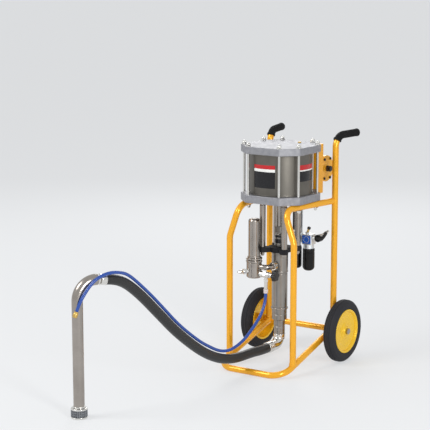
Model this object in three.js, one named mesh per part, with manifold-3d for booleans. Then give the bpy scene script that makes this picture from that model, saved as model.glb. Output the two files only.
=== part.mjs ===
// Air-driven airless paint sprayer on a two-wheeled cart: air motor, piston pump, fluid filter,
// air preparation unit, suction hose with its suction tube, and return hose.
// Millimetres, +Z up, the front of the cart towards -Y. The origin is on the floor, at the middle
// of the cart's outline. Pieces are worked out about the pump's axis (x = 0, y = 0) and the
// whole group is then moved along Y.

import * as THREE from "three";
import { mergeVertices } from "three/addons/utils/BufferGeometryUtils.js";
import Module from "manifold-3d";

const wasm = await Module();
wasm.setup();

// ---- Driving dimensions ----

const gap = 0.3; // between pieces that touch
const slideGap = 0.4; // round a rod, spool or shaft that moves in a bore

const tubeRadius = 12.5; // every frame tube
const baseHalfWidth = 147; // pump axis to the side tubes of the base
const baseBendRadius = 65;
const frontDistance = 217; // pump axis to the front tube
const uprightHalfWidth = 152;
const axleDistance = 163; // pump axis to the axle, towards the rear
const legDistance = 136; // pump axis to the front legs
const legShoulderHeight = 520; // where a leg leans inwards
const legShoulderBend = 60;
const armHalfWidth = 103; // where a leg turns to the rear, under the motor
const armRearHalfWidth = 146; // where it meets the upright
const armBendRadius = 45;
const gripHeight = 905;
const gripBendRadius = 45;
const gripTipHalfWidth = 177;
const gripTipDistance = 290; // pump axis to the tip of a grip
const gripTipRise = 3;
const gripRadius = 15;
const gripEndWall = 4;

const wheelRadius = 125;
const wheelHalfTrack = 195;
const tyreHalfWidth = 24;
const tyreSeatRadius = 84;
const tyreSeatHalfWidth = 19;
const rimFlangeRadius = 88;
const rimWall = 3;
const rimDishDepth = 8;
const hubRadius = 17;
const hubHalfLength = 22;
const axleRadius = 8;
const hubNutRadius = 13;
const hubNutLength = 8;

const motorHeight = 659.4; // floor to the motor's bottom plate
const plateHalfWidth = 137;
const plateChamfer = 61.6;
const bottomPlateThickness = 30;
const topPlateThickness = 28;
const chamberLength = 160.6;
const motorCylinderRadius = 125;
const motorCylinderWall = 6;
const tieRodRadius = 5;
const tieRodFar = 124; // a tie rod's larger distance from the axis, along X or Y
const tieRodNear = 70; // and its smaller one
const capNutRadius = 10;
const capNutHeight = 8;
const pistonThickness = 36;
const pistonRestGap = 3; // under the motor's piston at the bottom of the stroke
const pistonRodRadius = 18;
const rodStubRadius = 9; // threaded ends of the two rods
const mountStudRadius = 4;
const mountStudLength = 15; // into the motor's bottom plate
const mountStudDistance = 50; // motor axis to each pair of mounting studs, along Y

const manifoldHalfWidth = 90;
const manifoldDepth = 42;
const manifoldEdge = 5;
const manifoldRise = 12.6; // above the underside of the motor
const manifoldHeight = 196;
const manifoldBottom = motorHeight + manifoldRise;
const manifoldTop = manifoldBottom + manifoldHeight;
const valveHeight = manifoldBottom + 90; // axis of the reversing valve
const valveDistance = 226;
const valveBodyRadius = 44;
const valveBodyHalfLength = 62;
const valveNeckHalfWidth = 50;
const valveNeckHalfHeight = 38;
const valveCoverRadius = 52.5;
const valveCoverThickness = 15;
const valveBoltCircle = 44;
const valveBoltRadius = 5;
const valveBoltHead = 4;
const spoolRadius = 19;
const spoolHalfLength = 46;
const resetButtonRadius = 12;
const resetButtonLength = 20; // outside the cover
const resetButtonDepth = 8; // inside it

const pumpRodSpacing = 50; // half the spacing of the pump's four tie rods
const pumpRodRadius = 12;
const pumpStudRadius = 6;
const flangeTop = 474; // floor to the top of the pump's flange
const flangeThickness = 20;
const flangeLobeRadius = 16;
const flangeDiscRadius = 46;
const housingRadius = 33;
const housingBottom = 372;
const housingNeckRadius = 20;
const packingNutRadius = 22;
const packingNutHeight = 47;
const displacementRodRadius = 14;
const housingChamberRadius = 22;
const housingNeckRise = 4; // above the flange
const couplingRadius = 21;
const couplingBottom = 530;
const couplingHeight = 25;
const pumpCylinderRadius = 31;
const pumpCylinderWall = 5;
const pumpCylinderBottom = 223;
const pumpPistonLength = 30;
const pumpPistonRest = 8; // pump piston above the foot valve at the bottom of its stroke
const clampRadius = 34; // ring at the foot of the pump cylinder
const clampHeight = 7;
const footValveRadius = 30;
const footValveHeight = 43;
const footNeckRadius = 22.5;
const footNeckHeight = 59;
const footBoreRadius = 11;
const ballRadius = 12.5;
const ballLift = 8;
const elbowRadius = 21.5;
const elbowBore = 15;
const elbowBendRadius = 36;
const inletRise = 2; // of the inlet pipe's lower end, back from the hose to the pump's axis
const elbowCollarRadius = 24;
const elbowCollarHeight = 14;

const filterAxis = new THREE.Vector2(-63, -90);
const filterBodyRadius = 30.5;
const filterBodyBottom = 357;
const filterBodyHeight = 70;
const filterRingRadius = 32.5;
const filterRingHeight = 6.5;
const filterTubeRadius = 23.5;
const filterTubeWall = 4;
const filterTubeTop = 592;
const filterElementRadius = 13;
const outletHeight = 385; // spray hose outlet
const outletLength = 43;
const outletRadius = 10;
const outletTipRadius = 4;
const connectorHeight = 402;
const connectorRadius = 11;
const connectorBendRadius = 24;
const connectorNutRadius = 16;
const connectorNutLength = 20;
const drainHeight = 374;
const drainRadius = 12;
const drainBodyLength = 42; // outside the filter body
const drainNeckRadius = 8;
const drainNeckLength = 16;
const drainSpindleRadius = 4.5;
const drainKnobRadius = 22.5;
const drainKnobThickness = 16;
const drainPipeRadius = 7;
const drainFerruleRadius = 9;
const drainFerruleLength = 15;

const airUnitDistance = 100; // pump axis to the air preparation unit
const airUnitBottom = 474;
const airUnitHeight = 42;
const airUnitHalfDepth = 19;
const regulatorX = 72;
const regulatorHalfWidth = 22;
const lubricatorX = 18;
const lubricatorHalfWidth = 19;
const regulatorBowlRadius = 24;
const regulatorBowlLength = 88;
const lubricatorBowlRadius = 19;
const lubricatorBowlLength = 84;
const bowlNeckHeight = 18;
const bowlWall = 3;
const regulatorBossRadius = 8;
const regulatorBossRise = 6;
const regulatorStemRadius = 4.5;
const regulatorStemLength = 14;
const regulatorStemTilt = THREE.MathUtils.degToRad(20);
const regulatorKnobRadius = 7;
const regulatorKnobLength = 9;
const airValveX = 118;
const airValveHeight = airUnitBottom + 29; // axis of the air valve
const airValveRadius = 15;
const airValveHalfDepth = 13;
const airNippleRadius = 6;
const airNippleLength = 56;
const airNippleTilt = THREE.MathUtils.degToRad(38);
const leverThickness = 4;
const leverHalfWidth = 6;
const leverReach = 44;
const airHoseX = 6;
const airHoseRadius = 8.5;
const bracketX = 22;
const bracketHalfWidth = 8;
const bracketThickness = 4;
const bracketFootDepth = 10;

const suctionHoseRadius = 19;
const hoseCouplingRadius = 22.5;
const hoseCouplingLength = 28;
const returnHoseRadius = 6;
const suctionTubeX = -198;
const suctionTubeY = -1011;
const suctionTubeRise = 9.8; // of the suction tube's bend above the hose's end
const suctionTubeRadius = 20;
const suctionTubeBore = 12;
const suctionFerruleRadius = 20.5;
const suctionFerruleLength = 26;
const suctionNeckRadius = 16;
const suctionNeckLength = 12;
const suctionBendRadius = 70;
const strainerRadius = 30;
const strainerHeight = 38;
const strainerWall = 3;
const returnFittingRadius = 8;
const returnFittingLength = 22;

// ---- Free hoses: hand-chosen routes, from the sprayer to the suction tube ----

const suctionHoseRoute = [
  [-5.5, -84, 77],
  [-7.7, -118, 76.2],
  [-15, -156, 76],
  [-22, -196, 75],
  [-29, -236, 73],
  [-37, -278, 74],
  [-45, -322, 81],
  [-53, -368, 96],
  [-61, -414, 118],
  [-68, -462, 147],
  [-75, -508, 180],
  [-82, -554, 216],
  [-90, -600, 256],
  [-97, -645, 299],
  [-105, -690, 343],
  [-112, -734, 385],
  [-118, -774, 420],
  [-125, -812, 450],
  [-131.5, -852.5, 473],
  [-138.9, -880.4, 482.7],
  [-150.9, -910.6, 488.2],
].map((point) => new THREE.Vector3(...point));

const returnHoseRoute = [
  [-8, -90, 300],
  [-8.5, -93, 272],
  [-10.6, -106, 238],
  [-14, -128, 207],
  [-20, -167, 171],
  [-26, -208, 141],
  [-33, -250, 121],
  [-39, -291, 112],
  [-45, -330, 114],
  [-51, -360, 123],
  [-58, -402, 144],
  [-65, -448, 171],
  [-72, -493, 203],
  [-79, -538, 238],
  [-86, -583, 277],
  [-93, -627, 320],
  [-100, -672, 364],
  [-106, -717, 406],
  [-112, -758, 442],
  [-116, -798, 474],
  [-118, -838, 498],
  [-118, -868, 508],
  [-121, -892, 513],
  [-127, -914, 514],
  [-134, -937, 511],
  [-142, -960, 503],
  [-150, -978, 491],
  [-157, -991, 476],
  [-161, -999, 466],
  [-165.6, -1008, 452],
  [-170.6, -1018.6, 435],
  [-175.6, -1028.7, 414],
  [-180, -1037, 392],
].map((point) => new THREE.Vector3(...point));

// ---- Solids ----

/** A manifold solid from a closed geometry, with its faces turned outwards. */
function solid(geometry) {
  const source = geometry.index ? geometry.toNonIndexed() : geometry;
  const bare = new THREE.BufferGeometry();
  bare.setAttribute("position", source.getAttribute("position"));
  const merged = mergeVertices(bare, 1e-4);
  const corners = merged.index.array;
  const build = (order) => {
    const triVerts = [];
    for (let i = 0; i < corners.length; i += 3) {
      const [a, b, c] = order.map((offset) => corners[i + offset]);
      if (a !== b && b !== c && c !== a) triVerts.push(a, b, c);
    }
    return new wasm.Manifold(
      new wasm.Mesh({
        numProp: 3,
        vertProperties: new Float32Array(merged.getAttribute("position").array),
        triVerts: new Uint32Array(triVerts),
      }),
    );
  };
  const made = build([0, 1, 2]);
  return made.volume() < 0 ? build([0, 2, 1]) : made;
}

const join = (...solids) => solids.reduce((sum, next) => sum.add(next));
const cut = (body, ...tools) => tools.reduce((rest, tool) => rest.subtract(tool), body);

/** The triangles of a manifold solid as a three.js geometry. */
function geometryOf(body) {
  const mesh = body.getMesh();
  const points = new Float32Array(mesh.numVert * 3);
  for (let i = 0; i < mesh.numVert; i += 1) {
    const start = i * mesh.numProp;
    points.set(mesh.vertProperties.subarray(start, start + 3), i * 3);
  }
  const indexed = new THREE.BufferGeometry();
  indexed.setAttribute("position", new THREE.BufferAttribute(points, 3));
  indexed.setIndex(new THREE.BufferAttribute(new Uint32Array(mesh.triVerts), 1));
  const geometry = indexed.toNonIndexed();
  geometry.computeVertexNormals();
  return geometry;
}

const standing = (geometry) => geometry;
const alongX = (geometry) => geometry.rotateY(Math.PI / 2);
const alongY = (geometry) => geometry.rotateX(-Math.PI / 2);

/** A solid of revolution about Z from [radius, height] points that start and end on the axis. */
function turned(profile, sides = 24, turn = standing, at = [0, 0, 0]) {
  const outline = profile.map(([radius, height]) => new THREE.Vector2(radius, height));
  const geometry = new THREE.LatheGeometry(outline, sides).rotateX(Math.PI / 2);
  return solid(turn(geometry).translate(...at));
}

/** A ring-shaped solid of revolution: the profile closes on itself. */
function turnedRing(profile, sides, turn, at) {
  return turned([...profile, profile[0]], sides, turn, at);
}

const rod = (radius, low, high, sides, turn, at) =>
  turned([[0, low], [radius, low], [radius, high], [0, high]], sides, turn, at);

/** The radius at which a polygon's flats, not its corners, lie at the given radius. */
const aroundFlats = (radius, sides) => radius / Math.cos(Math.PI / sides);

const bore = (radius, low, high, sides = 24, turn = standing, at = [0, 0, 0]) =>
  rod(aroundFlats(radius, sides), low, high, sides, turn, at);

const hexagon = (radius, low, high, turn, at) => rod(radius, low, high, 6, turn, at);

function block([x0, x1], [y0, y1], [z0, z1]) {
  const geometry = new THREE.BoxGeometry(x1 - x0, y1 - y0, z1 - z0);
  return solid(geometry.translate((x0 + x1) / 2, (y0 + y1) / 2, (z0 + z1) / 2));
}

/** An outline in the XY plane, raised from one height to another. */
function raised(outline, low, high) {
  const shape = new THREE.Shape(outline.map(([x, y]) => new THREE.Vector2(x, y)));
  const geometry = new THREE.ExtrudeGeometry(shape, { depth: high - low, bevelEnabled: false });
  return solid(geometry.translate(0, 0, low));
}

// ---- Tubes and hoses ----

const vector = (x, y, z) => new THREE.Vector3(x, y, z);
const towards = (from, to) => to.clone().sub(from).normalize();
const along = (from, direction, distance) => from.clone().addScaledVector(direction, distance);

/** Stations of a tube's centreline: straight between corners, with an arc at each corner. */
function bentPath(corners, bendRadius, stepsPerQuarter = 5) {
  const last = corners.length - 1;
  const stations = [{ point: corners[0], tangent: towards(corners[0], corners[1]) }];
  for (let i = 1; i < last; i += 1) {
    const before = towards(corners[i - 1], corners[i]);
    const after = towards(corners[i], corners[i + 1]);
    const turn = before.angleTo(after);
    const radius = Array.isArray(bendRadius) ? bendRadius[i - 1] : bendRadius;
    const inward = after.clone().addScaledVector(before, -after.dot(before)).normalize();
    const start = along(corners[i], before, -radius * Math.tan(turn / 2));
    const centre = along(start, inward, radius);
    const steps = Math.max(2, Math.ceil((turn / (Math.PI / 2)) * stepsPerQuarter));
    for (let step = 0; step <= steps; step += 1) {
      const angle = (turn * step) / steps;
      const point = along(along(centre, before, radius * Math.sin(angle)), inward, -radius * Math.cos(angle));
      const tangent = before.clone().multiplyScalar(Math.cos(angle)).addScaledVector(inward, Math.sin(angle));
      stations.push({ point, tangent });
    }
  }
  stations.push({ point: corners[last], tangent: towards(corners[last - 1], corners[last]) });
  return stations;
}

/** Stations at even steps along a smooth curve through a hose's points, with its ends square. */
function hosePath(points, steps, startDirection, endDirection) {
  const curve = new THREE.CatmullRomCurve3(points);
  const stations = Array.from({ length: steps + 1 }, (_, i) => ({
    point: curve.getPointAt(i / steps),
    tangent: curve.getTangentAt(i / steps),
  }));
  stations[0].tangent = startDirection;
  stations[steps].tangent = endDirection;
  return stations;
}

/** The same path, starting and ending the given lengths further out. */
function extended(stations, before, after) {
  const first = stations[0];
  const last = stations[stations.length - 1];
  return [
    { point: along(first.point, first.tangent, -before), tangent: first.tangent },
    ...stations.slice(1, -1),
    { point: along(last.point, last.tangent, after), tangent: last.tangent },
  ];
}

/** A curve whose evenly numbered steps are the given stations. */
class StationCurve extends THREE.Curve {
  constructor(stations) {
    super();
    this.stations = stations;
  }

  station(share) {
    return this.stations[Math.round(share * (this.stations.length - 1))];
  }

  getPointAt(share, target = new THREE.Vector3()) {
    return target.copy(this.station(share).point);
  }

  getTangentAt(share, target = new THREE.Vector3()) {
    return target.copy(this.station(share).tangent);
  }
}

/** A round bar of the given radius along a path. */
function swept(stations, radius, sides = 12) {
  const section = new THREE.Shape(
    Array.from({ length: sides }, (_, i) => {
      const angle = (i / sides) * Math.PI * 2;
      return new THREE.Vector2(radius * Math.cos(angle), radius * Math.sin(angle));
    }),
  );
  const geometry = new THREE.ExtrudeGeometry(section, {
    steps: stations.length - 1,
    extrudePath: new StationCurve(stations),
    bevelEnabled: false,
  });
  return solid(geometry);
}

const sweptBore = (stations, radius, sides = 12) => swept(stations, aroundFlats(radius, sides), sides);

// ---- Finishes ----

const finish = (color, roughness, metalness) => new THREE.MeshStandardMaterial({ color, roughness, metalness });

const finishes = {
  yellowPaint: finish(0xf2ac12, 0.35, 0.0),
  wheelPaint: finish(0xf5c51a, 0.4, 0.0),
  castGrey: finish(0x77787a, 0.55, 0.6),
  satinSteel: finish(0x9b9a92, 0.35, 0.8),
  brightSteel: finish(0xd5d3cc, 0.15, 1.0),
  darkPlate: finish(0x1d1f20, 0.6, 0.2),
  rubber: finish(0x17191b, 0.75, 0.0),
  blackPlastic: finish(0x141516, 0.45, 0.0),
  silverBody: finish(0xe3e6e8, 0.4, 0.1),
  brass: finish(0xc9a24a, 0.3, 0.9),
  blueHose: finish(0x27469c, 0.4, 0.0),
  filterMesh: finish(0x8f9296, 0.6, 0.7),
};

const cart = new THREE.Group();

/** Puts a finished piece, worked out in place, into a group as a named mesh. */
function add(group, name, body, material) {
  const mesh = new THREE.Mesh(geometryOf(body), material);
  mesh.name = name;
  group.add(mesh);
}

const sides = [
  { side: "left", sign: -1 },
  { side: "right", sign: 1 },
];

// ---- Cart frame ----

const axleTubeHalfLength = wheelHalfTrack - hubHalfLength - gap;
const axleTubeCutter = bore(tubeRadius + gap, -uprightHalfWidth * 2, uprightHalfWidth * 2, 24, alongX, [
  0,
  axleDistance,
  wheelRadius,
]);

const baseCorners = [
  vector(baseHalfWidth, axleDistance, wheelRadius),
  vector(baseHalfWidth, -frontDistance, tubeRadius),
  vector(-baseHalfWidth, -frontDistance, tubeRadius),
  vector(-baseHalfWidth, axleDistance, wheelRadius),
];
const basePath = bentPath(baseCorners, baseBendRadius);
const baseSlope = (wheelRadius - tubeRadius) / (axleDistance + frontDistance);
const baseHeightAt = (y) => tubeRadius + baseSlope * (y + frontDistance);

function baseTube() {
  const uprightCutters = sides.map(({ sign }) =>
    bore(tubeRadius + gap, wheelRadius, gripHeight, 24, standing, [sign * uprightHalfWidth, axleDistance, 0]),
  );
  return cut(swept(basePath, tubeRadius), axleTubeCutter, ...uprightCutters);
}

const armHeight = motorHeight - gap - tubeRadius;
const armSlope = (armRearHalfWidth - armHalfWidth) / (axleDistance + legDistance);
const armHalfWidthAt = (y) => armHalfWidth + armSlope * (y + legDistance);

function uprightPath(sign) {
  const corners = [
    vector(sign * uprightHalfWidth, axleDistance, wheelRadius),
    vector(sign * uprightHalfWidth, axleDistance, gripHeight),
    vector(sign * gripTipHalfWidth, gripTipDistance, gripHeight + gripTipRise),
  ];
  return bentPath(corners, gripBendRadius, 6);
}

/** The grip starts halfway round the upright's bend and runs past the end of the tube. */
function gripPath(sign) {
  const path = uprightPath(sign);
  return path.slice(Math.floor(path.length / 2) - 1);
}

function upright(sign) {
  return cut(swept(extended(uprightPath(sign), 0, -gripEndWall - gap), tubeRadius), axleTubeCutter);
}

function grip(sign) {
  const outside = swept(gripPath(sign), gripRadius);
  const inside = sweptBore(extended(gripPath(sign), 2, -gripEndWall), tubeRadius + gap);
  return cut(outside, inside);
}

function mountStudPlace(sign, y) {
  return [sign * armHalfWidthAt(y), y, armHeight];
}

/** A front leg and the arm it runs on into, with the two studs and nuts that hold the motor. */
function frontLeg(sign) {
  const corners = [
    vector(sign * baseHalfWidth, -legDistance, baseHeightAt(-legDistance)),
    vector(sign * baseHalfWidth, -legDistance, legShoulderHeight),
    vector(sign * armHalfWidth, -legDistance, armHeight),
    vector(sign * armRearHalfWidth, axleDistance, armHeight),
  ];
  const leg = swept(bentPath(corners, [legShoulderBend, armBendRadius]), tubeRadius);
  const uprightCutter = bore(tubeRadius + gap, wheelRadius, gripHeight, 24, standing, [
    sign * uprightHalfWidth,
    axleDistance,
    0,
  ]);
  const studs = [-mountStudDistance, mountStudDistance].map((y) => {
    const place = mountStudPlace(sign, y);
    const nutBottom = -tubeRadius - capNutHeight;
    return join(
      rod(mountStudRadius, nutBottom, tubeRadius + gap + mountStudLength, 8, standing, place),
      hexagon(mountStudRadius * 2, nutBottom, -tubeRadius / 2, standing, place),
    );
  });
  return join(cut(leg, sweptBore(basePath, tubeRadius + gap), uprightCutter), ...studs);
}

function axleTube() {
  const place = [0, axleDistance, wheelRadius];
  const tube = rod(tubeRadius, -axleTubeHalfLength, axleTubeHalfLength, 16, alongX, place);
  return cut(tube, bore(axleRadius + gap, -wheelHalfTrack, wheelHalfTrack, 16, alongX, place));
}

/** The axle with its two hub nuts, which hold the wheels on. */
function axle() {
  const place = [0, axleDistance, wheelRadius];
  const nutStart = wheelHalfTrack + hubHalfLength + gap;
  const nutEnd = nutStart + hubNutLength;
  const shaft = rod(axleRadius, -nutEnd, nutEnd, 16, alongX, place);
  return join(
    shaft,
    hexagon(hubNutRadius, nutStart, nutEnd, alongX, place),
    hexagon(hubNutRadius, -nutEnd, -nutStart, alongX, place),
  );
}

add(cart, "base_tube", baseTube(), finishes.yellowPaint);
add(cart, "axle_tube", axleTube(), finishes.yellowPaint);
add(cart, "axle", axle(), finishes.brightSteel);
for (const { side, sign } of sides) {
  add(cart, `${side}_upright`, upright(sign), finishes.yellowPaint);
  add(cart, `${side}_front_leg`, frontLeg(sign), finishes.yellowPaint);
  add(cart, `${side}_grip`, grip(sign), finishes.rubber);
}

// ---- Wheels ----

const rimSeatRadius = tyreSeatRadius - gap;
const rimFlangeInside = tyreSeatHalfWidth + gap;
const rimHalfWidth = rimFlangeInside + rimWall;
const rimBarrelInside = rimSeatRadius - rimWall;
const dishOutside = rimHalfWidth - rimDishDepth;

/** A solid rubber tyre: a flat bead, straight walls and a round crown that stands on a flat. */
function tyre() {
  const sidesRound = 24;
  const halfStep = (geometry) => alongX(geometry.rotateZ(Math.PI / sidesRound));
  const bead = rimFlangeRadius + gap * 2;
  const half = [
    [tyreSeatRadius, tyreSeatHalfWidth],
    [bead, tyreSeatHalfWidth],
    [bead + 2, tyreHalfWidth - 1],
    [bead + 11, tyreHalfWidth],
    [wheelRadius - 12, tyreHalfWidth - 2],
    [wheelRadius - 4.5, tyreHalfWidth - 8],
    [wheelRadius, tyreHalfWidth - 17],
  ].map(([radius, x]) => [aroundFlats(radius, sidesRound), x]);
  const otherHalf = half.map(([radius, x]) => [radius, -x]).reverse();
  return turnedRing([...half, ...otherHalf], sidesRound, halfStep);
}

/** A pressed rim with a dished disc, turned so that its dish faces away from the cart. */
function rim(sign) {
  const profile = [
    [rimFlangeRadius, rimFlangeInside],
    [rimFlangeRadius, rimHalfWidth],
    [rimBarrelInside, rimHalfWidth],
    [rimBarrelInside - 3, dishOutside],
    [hubRadius + 3, dishOutside + 2],
    [hubRadius, hubHalfLength],
    [axleRadius + slideGap, hubHalfLength],
    [axleRadius + slideGap, -hubHalfLength],
    [hubRadius, -hubHalfLength],
    [hubRadius, dishOutside - rimWall],
    [rimBarrelInside, dishOutside - rimWall],
    [rimBarrelInside, -rimHalfWidth],
    [rimFlangeRadius, -rimHalfWidth],
    [rimFlangeRadius, -rimFlangeInside],
    [rimSeatRadius, -rimFlangeInside],
    [rimSeatRadius, rimFlangeInside],
  ];
  const outwards = profile.map(([radius, x]) => [radius, sign * x]);
  return turnedRing(outwards, 20, alongX);
}

for (const { side, sign } of sides) {
  const wheel = new THREE.Group();
  wheel.position.set(sign * wheelHalfTrack, axleDistance, wheelRadius);
  add(wheel, `${side}_tyre`, tyre(), finishes.rubber);
  add(wheel, `${side}_wheel_rim`, rim(sign), finishes.wheelPaint);
  cart.add(wheel);
}

// ---- Air motor: built above its own base at z = 0 ----

const motor = new THREE.Group();
motor.position.set(0, 0, motorHeight);
cart.add(motor);

const topPlateBottom = bottomPlateThickness + chamberLength;
const topPlateTop = topPlateBottom + topPlateThickness;
const chamfered = plateHalfWidth - plateChamfer;
const plateOutline = [
  [plateHalfWidth, -chamfered],
  [plateHalfWidth, chamfered],
  [chamfered, plateHalfWidth],
  [-chamfered, plateHalfWidth],
  [-plateHalfWidth, chamfered],
  [-plateHalfWidth, -chamfered],
  [-chamfered, -plateHalfWidth],
  [chamfered, -plateHalfWidth],
];
const tieRodPlaces = [
  [tieRodFar, tieRodNear],
  [tieRodNear, tieRodFar],
].flatMap(([x, y]) => [
  [x, y],
  [-x, y],
  [x, -y],
  [-x, -y],
]);
const pumpRodPlaces = [
  [1, 1],
  [1, -1],
  [-1, -1],
  [-1, 1],
].map(([x, y]) => [x * pumpRodSpacing, y * pumpRodSpacing]);
const pumpRodStudLength = 14;

/** The lower plate with its eight tie rods, the rod's bore and blind holes for the studs below. */
function motorBottomPlate() {
  const rods = tieRodPlaces.map(([x, y]) =>
    rod(tieRodRadius, bottomPlateThickness / 2, topPlateTop, 8, standing, [x, y, 0]),
  );
  const mountSockets = sides.flatMap(({ sign }) =>
    [-mountStudDistance, mountStudDistance].map((y) => {
      const place = [sign * armHalfWidthAt(y), y, 0];
      return bore(mountStudRadius + gap, -1, mountStudLength + gap, 8, standing, place);
    }),
  );
  const pumpRodSockets = pumpRodPlaces.map(([x, y]) =>
    bore(pumpStudRadius + gap, -1, pumpRodStudLength + gap, 12, standing, [x, y, 0]),
  );
  return cut(
    join(raised(plateOutline, 0, bottomPlateThickness), ...rods),
    bore(pistonRodRadius + slideGap, -1, bottomPlateThickness + 1, 24),
    ...pumpRodSockets,
    ...mountSockets,
  );
}

function motorCylinder() {
  const low = bottomPlateThickness + gap;
  const high = topPlateBottom - gap;
  const inside = motorCylinderRadius - motorCylinderWall;
  return turnedRing(
    [
      [inside, low],
      [motorCylinderRadius, low],
      [motorCylinderRadius, high],
      [inside, high],
    ],
    40,
  );
}

/** A six-sided nut with a domed cap. */
function capNut(x, y, low) {
  const dome = [0, 40, 90].map((degrees) => {
    const angle = THREE.MathUtils.degToRad(degrees);
    return [capNutRadius * 0.85 * Math.cos(angle), capNutRadius * 0.85 * Math.sin(angle)];
  });
  dome[dome.length - 1][0] = 0;
  const top = low + capNutHeight;
  const cap = dome.map(([radius, height]) => [radius, top - 1 + height]);
  return join(
    hexagon(capNutRadius, low - 1, top, standing, [x, y, 0]),
    turned([[0, top - 2], [cap[0][0], top - 2], ...cap], 8, standing, [x, y, 0]),
  );
}

/** The upper plate with a cap nut over the end of each tie rod. */
function motorTopPlate() {
  const nuts = tieRodPlaces.map(([x, y]) => capNut(x, y, topPlateTop));
  const rodHoles = tieRodPlaces.map(([x, y]) =>
    bore(tieRodRadius + gap, topPlateBottom - 1, topPlateTop + gap, 8, standing, [x, y, 0]),
  );
  return cut(join(raised(plateOutline, topPlateBottom, topPlateTop), ...nuts), ...rodHoles);
}

const pistonBottom = bottomPlateThickness + pistonRestGap;
const pistonTop = pistonBottom + pistonThickness;
const couplingTop = couplingBottom + couplingHeight - motorHeight;

function airPiston() {
  const radius = motorCylinderRadius - motorCylinderWall - slideGap;
  return cut(
    rod(radius, pistonBottom, pistonTop, 40),
    bore(rodStubRadius + gap, pistonBottom - 1, pistonTop + 1, 16),
  );
}

/** The motor's rod, with its piston nut above and a threaded end in the coupling below. */
function pistonRod() {
  const nutBottom = pistonTop + gap;
  return join(
    turned(
      [
        [0, couplingTop - couplingHeight / 2 + gap],
        [rodStubRadius, couplingTop - couplingHeight / 2 + gap],
        [rodStubRadius, couplingTop + gap],
        [pistonRodRadius, couplingTop + gap],
        [pistonRodRadius, pistonBottom - gap],
        [rodStubRadius, pistonBottom - gap],
        [rodStubRadius, nutBottom + capNutHeight],
        [0, nutBottom + capNutHeight],
      ],
      24,
    ),
    hexagon(pistonRodRadius, nutBottom, nutBottom + capNutHeight),
  );
}

add(motor, "motor_bottom_plate", motorBottomPlate(), finishes.castGrey);
add(motor, "motor_cylinder", motorCylinder(), finishes.satinSteel);
add(motor, "motor_top_plate", motorTopPlate(), finishes.castGrey);
add(motor, "air_piston", airPiston(), finishes.castGrey);
add(motor, "piston_rod", pistonRod(), finishes.brightSteel);

// ---- Reversing valve, on the rear of the motor ----

const manifoldFront = plateHalfWidth + gap;
const manifoldBack = manifoldFront + manifoldDepth;
const valvePlace = [0, valveDistance, valveHeight];
const coverInside = valveBodyHalfLength + gap;
const coverOutside = coverInside + valveCoverThickness;

function valveManifold() {
  const outline = [
    [manifoldHalfWidth, manifoldFront],
    [manifoldHalfWidth, manifoldBack - manifoldEdge],
    [manifoldHalfWidth - manifoldEdge, manifoldBack],
    [-manifoldHalfWidth + manifoldEdge, manifoldBack],
    [-manifoldHalfWidth, manifoldBack - manifoldEdge],
    [-manifoldHalfWidth, manifoldFront],
  ];
  const coverSeats = sides.map(({ sign }) => {
    const ends = [coverInside - gap, manifoldHalfWidth + 1].map((x) => sign * x).sort((a, b) => a - b);
    return bore(valveCoverRadius + gap * 2, ...ends, 28, alongX, valvePlace);
  });
  return cut(raised(outline, manifoldBottom, manifoldTop), ...coverSeats);
}

function valveBody() {
  const barrel = rod(valveBodyRadius, -valveBodyHalfLength, valveBodyHalfLength, 28, alongX, valvePlace);
  const neck = block(
    [-valveNeckHalfWidth, valveNeckHalfWidth],
    [manifoldBack + gap, valveDistance],
    [valveHeight - valveNeckHalfHeight, valveHeight + valveNeckHalfHeight],
  );
  const spoolBore = bore(
    spoolRadius + slideGap,
    -valveBodyHalfLength - 1,
    valveBodyHalfLength + 1,
    20,
    alongX,
    valvePlace,
  );
  return cut(join(barrel, neck), spoolBore);
}

/** An end cover with six bolt heads. */
function valveCover(sign) {
  const [low, high] = sign > 0 ? [coverInside, coverOutside] : [-coverOutside, -coverInside];
  const bolts = Array.from({ length: 6 }, (_, i) => {
    const angle = (i * Math.PI) / 3;
    const y = valveDistance + valveBoltCircle * Math.cos(angle);
    const z = valveHeight + valveBoltCircle * Math.sin(angle);
    const face = sign * coverOutside;
    const ends = [face - sign, face + sign * valveBoltHead].sort((a, b) => a - b);
    return hexagon(valveBoltRadius, ...ends, alongX, [0, y, z]);
  });
  return join(rod(valveCoverRadius, low, high, 28, alongX, valvePlace), ...bolts);
}

function valveSpool() {
  const land = spoolHalfLength / 5;
  const waist = spoolRadius * 0.6;
  const profile = [
    [0, -spoolHalfLength],
    [spoolRadius, -spoolHalfLength],
    [spoolRadius, -spoolHalfLength + land * 2],
    [waist, -spoolHalfLength + land * 2],
    [waist, -land],
    [spoolRadius, -land],
    [spoolRadius, land],
    [waist, land],
    [waist, spoolHalfLength - land * 2],
    [spoolRadius, spoolHalfLength - land * 2],
    [spoolRadius, spoolHalfLength],
    [0, spoolHalfLength],
  ];
  return turned(profile, 14, alongX, valvePlace);
}

function resetButton() {
  const inner = coverOutside - resetButtonDepth;
  const outer = coverOutside + resetButtonLength;
  const profile = [
    [0, inner],
    [resetButtonRadius, inner],
    [resetButtonRadius, outer - 3],
    [resetButtonRadius - 3, outer],
    [0, outer],
  ];
  return turned(profile, 20, alongX, valvePlace);
}

const resetButtonBore = bore(
  resetButtonRadius + slideGap,
  coverInside - 1,
  coverOutside + valveBoltHead,
  20,
  alongX,
  valvePlace,
);
add(cart, "valve_manifold", valveManifold(), finishes.yellowPaint);
add(cart, "valve_body", valveBody(), finishes.yellowPaint);
add(cart, "left_valve_cover", valveCover(-1), finishes.yellowPaint);
add(cart, "right_valve_cover", cut(valveCover(1), resetButtonBore), finishes.yellowPaint);
add(cart, "valve_spool", valveSpool(), finishes.brightSteel);
add(cart, "reset_button", resetButton(), finishes.blackPlastic);

// ---- Pump ----

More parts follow.
